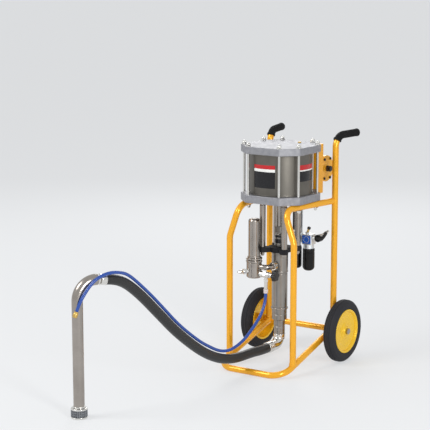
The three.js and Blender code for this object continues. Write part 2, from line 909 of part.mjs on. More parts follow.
const flangeBottom = flangeTop - flangeThickness;
const neckTop = flangeTop + housingNeckRise;
const rodBoreRadius = displacementRodRadius + slideGap;
const pumpCylinderInside = pumpCylinderRadius - pumpCylinderWall;
const footValveBottom = pumpCylinderBottom - footValveHeight;
const footNeckBottom = footValveBottom - footNeckHeight;
const ballSeatHeight = footValveBottom + 5;
const ballCentreHeight = ballSeatHeight + Math.sqrt(ballRadius ** 2 - footBoreRadius ** 2) + gap;

/** A tie rod standing on the flange, with a threaded end at the top and a stud and nut below. */
function pumpTieRod([x, y]) {
  const nutTop = flangeBottom - gap;
  const nutBottom = nutTop - 10;
  const nutRadius = pumpStudRadius + 2.5;
  return join(
    turned(
      [
        [0, nutBottom],
        [pumpStudRadius, nutBottom],
        [pumpStudRadius, flangeTop + gap],
        [pumpRodRadius, flangeTop + gap],
        [pumpRodRadius, motorHeight - gap],
        [pumpStudRadius, motorHeight - gap],
        [pumpStudRadius, motorHeight + pumpRodStudLength],
        [0, motorHeight + pumpRodStudLength],
      ],
      16,
      standing,
      [x, y, 0],
    ),
    hexagon(nutRadius, nutBottom, nutTop, standing, [x, y, 0]),
  );
}

/** A round flange with an ear for each tie rod. */
function pumpFlange() {
  const ears = pumpRodPlaces.map(([x, y]) => {
    const length = Math.hypot(x, y);
    const outline = [
      [0, -flangeLobeRadius],
      ...Array.from({ length: 7 }, (_, i) => {
        const angle = (i / 6 - 0.5) * Math.PI;
        return [length + flangeLobeRadius * Math.cos(angle), flangeLobeRadius * Math.sin(angle)];
      }),
      [0, flangeLobeRadius],
    ];
    const turnedOutline = outline.map(([u, v]) => [(u * x - v * y) / length, (u * y + v * x) / length]);
    return raised(turnedOutline, flangeBottom, flangeTop);
  });
  const studHoles = pumpRodPlaces.map(([x, y]) =>
    bore(pumpStudRadius + gap, flangeBottom - 1, flangeTop + 1, 12, standing, [x, y, 0]),
  );
  return cut(
    join(rod(flangeDiscRadius, flangeBottom, flangeTop, 32), ...ears),
    bore(housingNeckRadius + gap, flangeBottom - 1, flangeTop + 1, 24),
    ...studHoles,
  );
}

/** The outlet housing, which hangs under the flange with its neck through it. */
function outletHousing() {
  const shoulder = flangeBottom - gap;
  const chamberTop = shoulder - 12;
  return turnedRing(
    [
      [housingChamberRadius, housingBottom],
      [housingRadius, housingBottom],
      [housingRadius, shoulder],
      [housingNeckRadius, shoulder],
      [housingNeckRadius, neckTop],
      [rodBoreRadius, neckTop],
      [rodBoreRadius, chamberTop],
      [housingChamberRadius, chamberTop],
    ],
    20,
  );
}

function packingNut() {
  const low = neckTop + gap;
  const high = low + packingNutHeight;
  return turnedRing(
    [
      [rodBoreRadius, low],
      [packingNutRadius, low],
      [packingNutRadius, high - 6],
      [packingNutRadius - 4, high],
      [rodBoreRadius, high],
    ],
    24,
  );
}

function rodCoupling() {
  const top = couplingBottom + couplingHeight;
  return cut(hexagon(couplingRadius, couplingBottom, top), bore(rodStubRadius + gap, couplingBottom - 1, top + 1, 16));
}

/** The pump's rod, its threaded end in the coupling and its piston in the pump cylinder. */
function displacementRod() {
  const pistonLow = pumpCylinderBottom + pumpPistonRest;
  const pistonHigh = pistonLow + pumpPistonLength;
  const pistonRadius = pumpCylinderInside - slideGap;
  const stubTop = couplingBottom + couplingHeight / 2 - gap;
  return turned(
    [
      [0, pistonLow],
      [pistonRadius, pistonLow],
      [pistonRadius, pistonHigh],
      [displacementRodRadius, pistonHigh],
      [displacementRodRadius, couplingBottom - gap],
      [rodStubRadius, couplingBottom - gap],
      [rodStubRadius, stubTop],
      [0, stubTop],
    ],
    24,
  );
}

function pumpCylinder() {
  const low = pumpCylinderBottom;
  const high = housingBottom - gap;
  return turnedRing(
    [
      [pumpCylinderInside, low],
      [clampRadius, low],
      [clampRadius, low + clampHeight],
      [pumpCylinderRadius, low + clampHeight],
      [pumpCylinderRadius, high],
      [pumpCylinderInside, high],
    ],
    20,
  );
}

/** The foot valve: a ball chamber above a seat, and a narrower neck below. */
function footValve() {
  const top = pumpCylinderBottom - gap;
  return turnedRing(
    [
      [footBoreRadius, footNeckBottom],
      [footNeckRadius, footNeckBottom],
      [footNeckRadius, footValveBottom],
      [footValveRadius, footValveBottom],
      [footValveRadius, top],
      [ballRadius + 3, top],
      [ballRadius + 3, ballSeatHeight],
      [footBoreRadius, ballSeatHeight],
    ],
    20,
  );
}

function inletBall() {
  return solid(new THREE.SphereGeometry(ballRadius, 16, 10).translate(0, 0, ballCentreHeight));
}

const hoseStart = suctionHoseRoute[0];
const elbowCorner = vector(0, 0, hoseStart.z + inletRise);
const inletDirection = towards(hoseStart, elbowCorner);
const hoseCouplingEnd = along(hoseStart, inletDirection, gap);
const elbowEnd = along(hoseCouplingEnd, inletDirection, hoseCouplingLength + gap);

/** The bent inlet pipe under the foot valve, with a collar at its top. */
function inletElbow() {
  const top = footNeckBottom - gap;
  const path = bentPath([vector(0, 0, top), elbowCorner, elbowEnd], elbowBendRadius);
  const collar = rod(elbowCollarRadius, top - elbowCollarHeight, top, 20);
  return cut(join(swept(path, elbowRadius), collar), sweptBore(extended(path, 1, 1), elbowBore, 10));
}

function hoseCoupling() {
  const path = [
    { point: hoseCouplingEnd, tangent: inletDirection },
    { point: along(elbowEnd, inletDirection, -gap), tangent: inletDirection },
  ];
  return cut(swept(path, hoseCouplingRadius, 16), sweptBore(extended(path, 1, 1), elbowBore, 10));
}

pumpRodPlaces.forEach((place, i) => {
  add(cart, `pump_tie_rod_${i + 1}`, pumpTieRod(place), finishes.brightSteel);
});
add(cart, "pump_flange", pumpFlange(), finishes.darkPlate);
add(cart, "outlet_housing", outletHousing(), finishes.brightSteel);
add(cart, "packing_nut", packingNut(), finishes.brightSteel);
add(cart, "rod_coupling", rodCoupling(), finishes.satinSteel);
add(cart, "displacement_rod", displacementRod(), finishes.brightSteel);
add(cart, "pump_cylinder", pumpCylinder(), finishes.brightSteel);
add(cart, "foot_valve", footValve(), finishes.brightSteel);
add(cart, "inlet_ball", inletBall(), finishes.brightSteel);
add(cart, "inlet_elbow", inletElbow(), finishes.brightSteel);
add(cart, "hose_coupling", hoseCoupling(), finishes.brightSteel);

// ---- Fluid filter ----

const filterPlace = [filterAxis.x, filterAxis.y, 0];
const filterBodyTop = filterBodyBottom + filterBodyHeight;
const filterCapBottom = filterBodyTop + 4;
const filterChamberRadius = filterTubeRadius - filterTubeWall;
const filterFloor = filterBodyBottom + 14;
const filterBodyCutter = bore(filterBodyRadius + gap, filterBodyBottom, filterBodyTop, 20, standing, filterPlace);

function filterBody() {
  const ringLow = filterBodyTop - filterRingHeight;
  return turned(
    [
      [0, filterBodyBottom],
      [filterBodyRadius - 5, filterBodyBottom],
      [filterBodyRadius, filterBodyBottom + 5],
      [filterBodyRadius, ringLow],
      [filterRingRadius, ringLow],
      [filterRingRadius, filterBodyTop],
      [filterTubeRadius, filterBodyTop],
      [filterTubeRadius, filterCapBottom - gap],
      [filterChamberRadius, filterCapBottom - gap],
      [filterChamberRadius, filterFloor],
      [0, filterFloor],
    ],
    20,
    standing,
    filterPlace,
  );
}

/** The filter's cap: a ring and a long closed tube over the element. */
function filterCap() {
  return turned(
    [
      [filterChamberRadius, filterCapBottom],
      [filterRingRadius, filterCapBottom],
      [filterRingRadius, filterCapBottom + filterRingHeight],
      [filterTubeRadius, filterCapBottom + filterRingHeight],
      [filterTubeRadius, filterTubeTop - 4],
      [filterTubeRadius - 3, filterTubeTop],
      [0, filterTubeTop],
      [0, filterTubeTop - filterTubeWall * 2],
      [filterChamberRadius, filterTubeTop - filterTubeWall * 2],
      [filterChamberRadius, filterCapBottom],
    ],
    24,
    standing,
    filterPlace,
  );
}

function filterElement() {
  const top = filterTubeTop - filterTubeWall * 2 - gap;
  return rod(filterElementRadius, filterFloor + gap, top, 16, standing, filterPlace);
}

/** The spray hose outlet: a six-sided shank and a coned nipple pointing to the front left. */
function sprayOutlet() {
  const heading = Math.atan2(-0.89, -0.45);
  const start = filterBodyRadius - 8;
  const end = filterBodyRadius + outletLength;
  const shankEnd = filterBodyRadius + outletLength * 0.45;
  const parts = [
    new THREE.LatheGeometry(
      [
        [0, start],
        [outletRadius, start],
        [outletRadius, shankEnd],
        [outletRadius * 0.8, shankEnd],
        [outletRadius * 0.8, end - 10],
        [outletTipRadius, end],
        [0, end],
      ].map(([radius, height]) => new THREE.Vector2(radius, height)),
      14,
    ),
  ].map((geometry) =>
    solid(
      geometry
        .rotateZ(-Math.PI / 2)
        .rotateZ(heading)
        .translate(filterAxis.x, filterAxis.y, outletHeight),
    ),
  );
  return cut(join(...parts), filterBodyCutter);
}

/** The pipe from the pump's outlet housing round to the filter, with its union nut. */
function outletConnector() {
  const path = bentPath(
    [
      vector(0, -housingRadius / 2, connectorHeight),
      vector(0, filterAxis.y, connectorHeight),
      vector(filterAxis.x / 2, filterAxis.y, connectorHeight),
    ],
    connectorBendRadius,
  );
  const nutStart = housingRadius + 4;
  const nut = rod(connectorNutRadius, -nutStart - connectorNutLength, -nutStart, 16, alongY, [0, 0, connectorHeight]);
  const housingCutter = bore(housingRadius + gap, housingBottom, flangeBottom, 20);
  return cut(join(swept(path, connectorRadius), nut), housingCutter, filterBodyCutter);
}

const drainPlace = [filterAxis.x, filterAxis.y, drainHeight];
const drainBodyEnd = filterBodyRadius + drainBodyLength;
const drainNeckEnd = drainBodyEnd + drainNeckLength;

/** The drain valve, out to the right from the filter body, with a bore for its spindle. */
function drainValve() {
  const body = turned(
    [
      [0, filterBodyRadius - 8],
      [drainRadius, filterBodyRadius - 8],
      [drainRadius, drainBodyEnd],
      [drainNeckRadius, drainBodyEnd],
      [drainNeckRadius, drainNeckEnd],
      [0, drainNeckEnd],
    ],
    16,
    alongX,
    drainPlace,
  );
  const spindleBore = bore(drainSpindleRadius + slideGap, drainBodyEnd, drainNeckEnd + 1, 12, alongX, drainPlace);
  return cut(body, filterBodyCutter, spindleBore);
}

/** The drain valve's knob with scalloped grips, and its spindle. */
function drainKnob() {
  const low = drainNeckEnd + gap * 2;
  const wheel = rod(drainKnobRadius, low, low + drainKnobThickness, 24, alongX, drainPlace);
  const scallops = Array.from({ length: 6 }, (_, i) => {
    const angle = (i * Math.PI) / 3;
    const reach = drainKnobRadius + 5;
    const place = [
      drainPlace[0],
      drainPlace[1] + reach * Math.cos(angle),
      drainPlace[2] + reach * Math.sin(angle),
    ];
    return rod(8, low - 1, low + drainKnobThickness + 1, 12, alongX, place);
  });
  const spindle = rod(drainSpindleRadius, drainBodyEnd + 1, low + 2, 12, alongX, drainPlace);
  return join(cut(wheel, ...scallops), spindle);
}

/** The pipe down from the drain valve, ending in the return hose's ferrule. */
function drainPipe() {
  const start = returnHoseRoute[0];
  const low = start.z + gap;
  const profile = [
    [0, low],
    [drainFerruleRadius, low],
    [drainFerruleRadius, low + drainFerruleLength],
    [drainPipeRadius, low + drainFerruleLength],
    [drainPipeRadius, drainHeight],
    [0, drainHeight],
  ];
  const pipe = turned(profile, 12, standing, [start.x, filterAxis.y, 0]);
  return cut(pipe, bore(drainRadius + gap, filterBodyRadius - 8, drainBodyEnd + 4, 16, alongX, drainPlace));
}

add(cart, "filter_body", filterBody(), finishes.brightSteel);
add(cart, "filter_cap", filterCap(), finishes.brightSteel);
add(cart, "filter_element", filterElement(), finishes.filterMesh);
add(cart, "spray_outlet", sprayOutlet(), finishes.brightSteel);
add(cart, "outlet_connector", outletConnector(), finishes.brightSteel);
add(cart, "drain_valve", drainValve(), finishes.brightSteel);
add(cart, "drain_knob", drainKnob(), finishes.blackPlastic);
add(cart, "drain_pipe", drainPipe(), finishes.brightSteel);

// ---- Air preparation unit, behind the pump ----

const airUnitTop = airUnitBottom + airUnitHeight;
const airUnitRear = airUnitDistance + airUnitHalfDepth;
const airUnitDepth = [airUnitDistance - airUnitHalfDepth, airUnitRear];
const lubricatorEnd = lubricatorX + lubricatorHalfWidth;
const regulatorStart = regulatorX - regulatorHalfWidth;
const regulatorEnd = regulatorX + regulatorHalfWidth;
const neckLow = airUnitBottom - bowlNeckHeight;
const tiltToRight = (geometry, angle) => geometry.rotateY(angle);

const regulatorTop = vector(regulatorX - 8, airUnitDistance, airUnitTop);
const stemDirection = vector(Math.sin(regulatorStemTilt), 0, Math.cos(regulatorStemTilt));

/** A turned piece on the regulator's tilted stem line, placed by distances along it. */
function onStem(profile, count) {
  return turned(profile, count, (geometry) => tiltToRight(geometry, regulatorStemTilt), regulatorTop.toArray());
}

function regulatorBody() {
  const housing = block([regulatorStart, regulatorEnd], airUnitDepth, [airUnitBottom, airUnitTop]);
  const link = block(
    [lubricatorEnd + gap, regulatorStart + 1],
    [airUnitDistance - 11, airUnitDistance + 11],
    [airUnitBottom + 8, airUnitTop - 8],
  );
  const neck = rod(regulatorBowlRadius - 3, neckLow, airUnitBottom + 1, 20, standing, [regulatorX, airUnitDistance, 0]);
  const boss = onStem(
    [
      [0, -6],
      [regulatorBossRadius, -6],
      [regulatorBossRadius, regulatorBossRise],
      [0, regulatorBossRise],
    ],
    14,
  );
  const spindleHole = onStem(
    [
      [0, -4],
      [regulatorStemRadius / 2 + slideGap, -4],
      [regulatorStemRadius / 2 + slideGap, regulatorBossRise + 1],
      [0, regulatorBossRise + 1],
    ],
    10,
  );
  return cut(join(housing, link, neck, boss), spindleHole);
}

function lubricatorBody() {
  const low = [lubricatorX - lubricatorHalfWidth, lubricatorEnd];
  const housing = block(low, airUnitDepth, [airUnitBottom, airUnitTop]);
  const place = [lubricatorX, airUnitDistance, 0];
  return join(housing, rod(lubricatorBowlRadius - 3, neckLow, airUnitBottom + 1, 18, standing, place));
}

/** A bowl with a round bottom, open at the top under its neck. */
function bowl(x, radius, length) {
  const top = neckLow - gap;
  const roundness = radius * 0.7;
  const low = top - length;
  const corner = (offset, outward) =>
    [0, 45, 90].map((degrees) => {
      const angle = THREE.MathUtils.degToRad(degrees);
      const round = roundness - offset;
      const r = radius - offset - round + round * Math.sin(angle);
      return [Math.max(r, 0), low + offset + round - round * Math.cos(angle)];
    })[outward ? "slice" : "reverse"]();
  return turned(
    [[0, low], ...corner(0, true), [radius, top], [radius - bowlWall, top], ...corner(bowlWall, false), [0, low + bowlWall]],
    16,
    standing,
    [x, airUnitDistance, 0],
  );
}

/** The pressure knob on its stem, with a spindle in the boss. */
function regulatorKnob() {
  const stemLow = regulatorBossRise + gap * 2;
  const stemHigh = stemLow + regulatorStemLength;
  const knobHigh = stemHigh + regulatorKnobLength;
  return onStem(
    [
      [0, -3],
      [regulatorStemRadius / 2, -3],
      [regulatorStemRadius / 2, stemLow],
      [regulatorStemRadius, stemLow],
      [regulatorStemRadius, stemHigh],
      [regulatorKnobRadius, stemHigh + 1],
      [regulatorKnobRadius, knobHigh - 3],
      [regulatorKnobRadius - 3, knobHigh],
      [0, knobHigh],
    ],
    16,
  );
}

/** The air inlet valve: a round body on a short pipe, with the inlet nipple leaning outwards. */
function airValve() {
  const place = [airValveX, airUnitDistance, airValveHeight];
  const body = rod(airValveRadius, -airValveHalfDepth, airValveHalfDepth, 20, alongY, place);
  const pipe = rod(airValveRadius / 2, regulatorEnd + gap, airValveX, 14, alongX, [
    0,
    airUnitDistance,
    airValveHeight,
  ]);
  const nipple = turned(
    [
      [0, 0],
      [airNippleRadius, 0],
      [airNippleRadius, airNippleLength - 22],
      [airNippleRadius + 2, airNippleLength - 22],
      [airNippleRadius + 2, airNippleLength - 14],
      [airNippleRadius, airNippleLength - 14],
      [airNippleRadius - 1, airNippleLength],
      [0, airNippleLength],
    ],
    14,
    (geometry) => tiltToRight(geometry, airNippleTilt),
    place,
  );
  const pivotHole = bore(leverThickness / 2 + slideGap, -airValveHalfDepth - 1, -airValveHalfDepth + 7, 10, alongY, place);
  return cut(join(body, pipe, nipple), pivotHole);
}

/** The valve's lever: a flat handle in front of the body, with its pivot pin. */
function airValveLever() {
  const front = airUnitDistance - airValveHalfDepth - gap;
  const route = [
    [airValveX, airValveHeight],
    [airValveX + leverReach * 0.55, airValveHeight + 2],
    [airValveX + leverReach, airValveHeight + leverReach * 0.62],
  ].map(([x, z]) => new THREE.Vector2(x, z));
  const handles = route.slice(1).map((end, i) => {
    const start = route[i];
    const across = end.clone().sub(start).normalize().multiplyScalar(leverHalfWidth);
    const outline = [
      [start.x + across.y, start.y - across.x],
      [end.x + across.y, end.y - across.x],
      [end.x - across.y, end.y + across.x],
      [start.x - across.y, start.y + across.x],
    ];
    const shape = new THREE.Shape(outline.map(([x, z]) => new THREE.Vector2(x, z)));
    const geometry = new THREE.ExtrudeGeometry(shape, { depth: leverThickness, bevelEnabled: false });
    return solid(geometry.rotateX(Math.PI / 2).translate(0, front, 0));
  });
  const discs = route.map(({ x, y: z }) =>
    rod(leverHalfWidth, -leverThickness, 0, 14, alongY, [x, front, z]),
  );
  const pin = rod(leverThickness / 2, -leverThickness / 2, 6, 10, alongY, [airValveX, front, airValveHeight]);
  return join(...handles, ...discs, pin);
}

/** The strip that hangs the unit under the motor. */
function airBracket() {
  const width = [bracketX - bracketHalfWidth, bracketX + bracketHalfWidth];
  const front = airUnitRear + gap;
  const strip = block(width, [front, front + bracketThickness], [airUnitBottom, motorHeight - gap]);
  const foot = block(width, [front - bracketFootDepth, front + 1], [motorHeight - gap - bracketThickness, motorHeight - gap]);
  return join(strip, foot);
}

/** The hose from the lubricator up to the motor, with a fitting at each end. */
function airHose() {
  const place = [airHoseX, airUnitDistance, 0];
  const low = airUnitTop + gap;
  const high = motorHeight - gap;
  const fitting = airHoseRadius + 2;
  return turned(
    [
      [0, low],
      [fitting, low],
      [fitting, low + 10],
      [airHoseRadius, low + 10],
      [airHoseRadius, high - 12],
      [fitting, high - 12],
      [fitting, high],
      [0, high],
    ],
    16,
    standing,
    place,
  );
}

add(cart, "regulator_body", regulatorBody(), finishes.silverBody);
add(cart, "lubricator_body", lubricatorBody(), finishes.blackPlastic);
add(cart, "regulator_bowl", bowl(regulatorX, regulatorBowlRadius, regulatorBowlLength), finishes.blackPlastic);
add(cart, "lubricator_bowl", bowl(lubricatorX, lubricatorBowlRadius, lubricatorBowlLength), finishes.blackPlastic);
add(cart, "regulator_knob", regulatorKnob(), finishes.blackPlastic);
add(cart, "air_valve", airValve(), finishes.silverBody);
add(cart, "air_valve_lever", airValveLever(), finishes.blackPlastic);
add(cart, "air_bracket", airBracket(), finishes.brightSteel);
add(cart, "air_hose", airHose(), finishes.rubber);

// ---- Suction hose, suction tube and return hose ----

const suctionTubePlace = vector(suctionTubeX, suctionTubeY, 0);
const hoseEnd = suctionHoseRoute[suctionHoseRoute.length - 1];
const suctionCorner = vector(suctionTubeX, suctionTubeY, hoseEnd.z + suctionTubeRise);
const suctionDirection = towards(hoseEnd, suctionCorner);
const returnEnd = returnHoseRoute[returnHoseRoute.length - 1];
const returnDirection = towards(returnHoseRoute[returnHoseRoute.length - 2], returnEnd);

function suctionHose() {
  const path = hosePath(suctionHoseRoute, 20, inletDirection.clone().negate(), suctionDirection);
  return swept(path, suctionHoseRadius);
}

function returnHose() {
  return swept(hosePath(returnHoseRoute, 42, vector(0, 0, -1), returnDirection), returnHoseRadius, 8);
}

/** The suction tube: the hose's ferrule, a narrow neck, a bend and the long upright pipe. */
function suctionTube() {
  const start = along(hoseEnd, suctionDirection, gap);
  const ferruleEnd = along(start, suctionDirection, suctionFerruleLength);
  const pipeStart = along(ferruleEnd, suctionDirection, suctionNeckLength);
  const foot = vector(suctionTubeX, suctionTubeY, strainerHeight + gap);
  const station = (point) => ({ point, tangent: suctionDirection });
  const ferrule = swept([station(start), station(ferruleEnd)], suctionFerruleRadius, 14);
  const neck = swept([station(along(start, suctionDirection, 1)), station(pipeStart)], suctionNeckRadius);
  const pipe = swept(
    bentPath([along(pipeStart, suctionDirection, -1), suctionCorner, foot], suctionBendRadius),
    suctionTubeRadius,
  );
  const passage = extended(bentPath([start, suctionCorner, foot], suctionBendRadius), 1, 1);
  return cut(join(ferrule, neck, pipe), sweptBore(passage, suctionTubeBore, 10));
}

/** The strainer at the foot of the suction tube: a cup with slots round its wall. */
function suctionStrainer() {
  const place = suctionTubePlace.toArray();
  const collar = suctionTubeRadius + 2;
  const inside = strainerRadius - strainerWall;
  const shoulder = strainerHeight - 12;
  const cup = turned(
    [
      [0, 0],
      [strainerRadius, 0],
      [strainerRadius, shoulder],
      [collar, strainerHeight],
      [suctionTubeBore, strainerHeight],
      [suctionTubeBore, shoulder],
      [inside, shoulder - 6],
      [inside, strainerWall],
      [0, strainerWall],
    ],
    24,
    standing,
    place,
  );
  const slots = Array.from({ length: 8 }, (_, i) => {
    const slot = new THREE.BoxGeometry(5, strainerRadius * 2 + 4, shoulder - 20);
    slot.translate(0, strainerRadius + 2, 0);
    slot.rotateZ((i * Math.PI) / 4);
    return solid(slot.translate(place[0], place[1], shoulder / 2 - 1));
  });
  return cut(cup, ...slots);
}

/** The brass fitting that takes the return hose into the suction tube. */
function returnFitting() {
  const top = along(returnEnd, returnDirection, gap);
  const bottom = along(top, returnDirection, returnFittingLength);
  const station = (point) => ({ point, tangent: returnDirection });
  const body = swept([station(top), station(bottom)], returnFittingRadius, 10);
  const middle = top.clone().lerp(bottom, 0.55);
  const across = suctionTubePlace.clone().sub(middle).setZ(0);
  const branchTurn = (geometry) => alongX(geometry).rotateZ(Math.atan2(across.y, across.x));
  const branch = rod(returnFittingRadius - 1, 0, across.length(), 10, branchTurn, middle.toArray());
  const tubeCutter = bore(suctionTubeRadius + gap, 0, hoseEnd.z, 16, standing, suctionTubePlace.toArray());
  return cut(join(body, branch), tubeCutter);
}

add(cart, "suction_hose", suctionHose(), finishes.rubber);
add(cart, "return_hose", returnHose(), finishes.blueHose);
add(cart, "suction_tube", suctionTube(), finishes.brightSteel);
add(cart, "suction_strainer", suctionStrainer(), finishes.satinSteel);
add(cart, "return_fitting", returnFitting(), finishes.brass);

// ---- The whole sprayer, its origin under the middle of the cart ----

const gripDirection = gripPath(1)[gripPath(1).length - 1].tangent;
const rearReach = Math.max(
  axleDistance + wheelRadius,
  gripTipDistance + gripRadius * Math.sqrt(1 - gripDirection.y ** 2),
);
const frontReach = frontDistance + tubeRadius;
cart.position.y = (frontReach - rearReach) / 2;

const sprayer = new THREE.Group();
sprayer.add(cart);

export default sprayer;
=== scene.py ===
import math

import bpy
import numpy as np
from mathutils import Matrix, Vector


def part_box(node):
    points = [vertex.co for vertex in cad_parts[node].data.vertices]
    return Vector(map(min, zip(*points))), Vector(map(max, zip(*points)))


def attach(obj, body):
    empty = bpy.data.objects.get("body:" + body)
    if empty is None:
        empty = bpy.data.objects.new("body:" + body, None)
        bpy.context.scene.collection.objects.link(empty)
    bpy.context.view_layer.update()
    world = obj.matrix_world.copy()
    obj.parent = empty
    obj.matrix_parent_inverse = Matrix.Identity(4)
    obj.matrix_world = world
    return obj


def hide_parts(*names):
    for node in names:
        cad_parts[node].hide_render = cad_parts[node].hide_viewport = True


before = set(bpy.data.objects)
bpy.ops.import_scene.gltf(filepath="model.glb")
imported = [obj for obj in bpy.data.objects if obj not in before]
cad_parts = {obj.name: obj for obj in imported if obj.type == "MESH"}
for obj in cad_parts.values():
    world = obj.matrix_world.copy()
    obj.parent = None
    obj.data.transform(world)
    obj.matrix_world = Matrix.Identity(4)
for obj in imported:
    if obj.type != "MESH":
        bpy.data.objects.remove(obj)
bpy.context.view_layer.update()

bl_info = {
    "name": "Airless paint sprayer",
    "version": (1, 0, 0),
    "blender": (4, 5, 0),
    "location": "3D Viewport > Sidebar > Sprayer",
    "description": "Builds the finished surfaces of an air-driven paint sprayer on its cart",
    "category": "Object",
}

# Shapes are written in millimetres about the pump's axis, floor at z = 0, front towards -Y,
# as the solids' own sizes are. PUMP_Y is where that axis stands in the row's frame.
MM = 0.001
AXLE_FROM_PUMP = 163.0
PUMP_Y = (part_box("axle_tube")[0][1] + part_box("axle_tube")[1][1]) / 2 / MM - AXLE_FROM_PUMP


# ---------------------------------------------------------------- shapes as arrays


def rows_of(*rows):
    return np.array(rows, float)


def eased(corners, radius, closed=False, steps=4):
    """Corners of a line rounded off: each corner becomes a short parabola, and a support point
    just outside it keeps the flats beside it flat when shaded."""
    points = np.asarray(corners, float)
    before = np.roll(points, 1, axis=0)
    after = np.roll(points, -1, axis=0)
    back, ahead = before - points, after - points
    back_length = np.linalg.norm(back, axis=1, keepdims=True)
    ahead_length = np.linalg.norm(ahead, axis=1, keepdims=True)
    reach = np.minimum(radius, 0.4 * np.minimum(back_length, ahead_length))
    start = points + back / np.maximum(back_length, 1e-9) * reach
    end = points + ahead / np.maximum(ahead_length, 1e-9) * reach
    t = np.linspace(0, 1, steps + 1)[None, :, None]
    curve = (1 - t) ** 2 * start[:, None] + 2 * t * (1 - t) * points[:, None] + t**2 * end[:, None]
    lead = start + (start - points) * 0.2
    trail = end + (end - points) * 0.2
    full = np.concatenate([lead[:, None], curve, trail[:, None]], axis=1)
    if closed:
        return full.reshape(-1, points.shape[1])
    return np.concatenate([points[:1], full[1:-1].reshape(-1, points.shape[1]), points[-1:]])


def revolved(profile, columns=48, ease=0.8, ring=False):
    """A profile of radius and height turned about Z: x = r cos a, y = r sin a, z = h."""
    line = eased(profile, ease, closed=ring) if ease else np.asarray(profile, float)
    angle = np.arange(columns) / columns * 2 * np.pi
    radius, height = line[:, :1], line[:, 1:]
    grid = np.stack([radius * np.cos(angle), radius * np.sin(angle), height + 0 * angle], axis=-1)
    return grid, ring


def inset(outline, distance):
    """An outline moved inwards by a distance, square to its edges, mitred at its corners."""
    edges = np.roll(outline, -1, axis=0) - outline
    edges = edges / np.maximum(np.linalg.norm(edges, axis=1, keepdims=True), 1e-9)
    normal = np.stack([edges[:, 1], -edges[:, 0]], axis=1)
    previous = np.roll(normal, 1, axis=0)
    share = 1 + np.sum(normal * previous, axis=1, keepdims=True)
    return outline - distance * (normal + previous) / np.maximum(share, 0.4)


def slab(outline, low, high, ease=1.0):
    """An outline, counter-clockwise about the origin, raised from one height to another with
    its upper and lower edges rounded over a quarter circle."""
    turn = np.linspace(0, np.pi / 2, 4)
    distance = np.concatenate([[ease * 2.2], ease * (1 - np.sin(turn)), [0.0]])
    height = np.concatenate([[0.0], ease * (1 - np.cos(turn)), [ease * 1.2]])
    rings = [inset(outline, d) for d in distance]
    lower = [np.c_[ring, np.full(len(ring), low + h)] for ring, h in zip(rings, height)]
    upper = [np.c_[ring, np.full(len(ring), high - h)] for ring, h in zip(rings, height)][::-1]
    middle = outline.mean(axis=0)
    cap = lambda z: np.tile([middle[0], middle[1], z], (len(outline), 1))
    return np.array([cap(low), *lower, *upper, cap(high)]), False


def rectangle(width, depth, corner=3.0, centre=(0.0, 0.0)):
    """A rectangle's outline with rounded corners, counter-clockwise."""
    w, d = width / 2, depth / 2
    return eased(rows_of((w, -d), (w, d), (-w, d), (-w, -d)), corner, closed=True) + np.array(centre)


def hex_nut(radius, low, high):
    """A six-sided nut: sides on a hexagon of the given corner radius, and above its inscribed
    circle the end faces fall away as a cone of thirty degrees."""
    columns = 48
    angle = np.arange(columns) / columns * 2 * np.pi
    sector = (angle % (np.pi / 3)) - np.pi / 6
    reach = radius * math.cos(math.pi / 6) / np.cos(sector)
    flat = radius * 0.86
    fall = (reach - flat) * 0.58
    circle = np.c_[np.cos(angle), np.sin(angle)]
    ring = lambda r, z: np.c_[circle * np.reshape(r, (-1, 1)), np.broadcast_to(z, (columns,))]
    zero = np.zeros(columns)
    return (
        np.array(
            [
                ring(zero, low),
                ring(zero + flat, low),
                ring(reach, low + fall),
                ring(reach, high - fall),
                ring(zero + flat, high),
                ring(zero, high),
            ]
        ),
        False,
    )


def bent(corners, radii, step=6.0):
    """Points along a bent bar: straight between corners, a circular arc round each corner."""
    corners = [np.array(c, float) for c in corners]
    radii = radii if isinstance(radii, (list, tuple)) else [radii] * (len(corners) - 2)
    points = [corners[0][None]]
    for i, radius in enumerate(radii, 1):
        u = corners[i] - corners[i - 1]
        v = corners[i + 1] - corners[i]
        u, v = u / np.linalg.norm(u), v / np.linalg.norm(v)
        turn = math.acos(float(np.clip(u @ v, -1, 1)))
        inward = v - u * (u @ v)
        inward /= np.linalg.norm(inward)
        start = corners[i] - u * radius * math.tan(turn / 2)
        angle = np.linspace(0, turn, max(5, int(radius * turn / step)))[:, None]
        points.append(start + inward * radius + radius * (u * np.sin(angle) - inward * np.cos(angle)))
    points.append(corners[-1][None])
    line = np.concatenate(points)
    long = np.linalg.norm(np.diff(line, axis=0), axis=1)
    place = np.concatenate([[0], np.cumsum(long)])
    extra = np.arange(0, place[-1], step * 4)
    where = np.unique(np.round(np.concatenate([place, extra]), 3))
    return np.stack([np.interp(where, place, line[:, k]) for k in range(3)], axis=1)


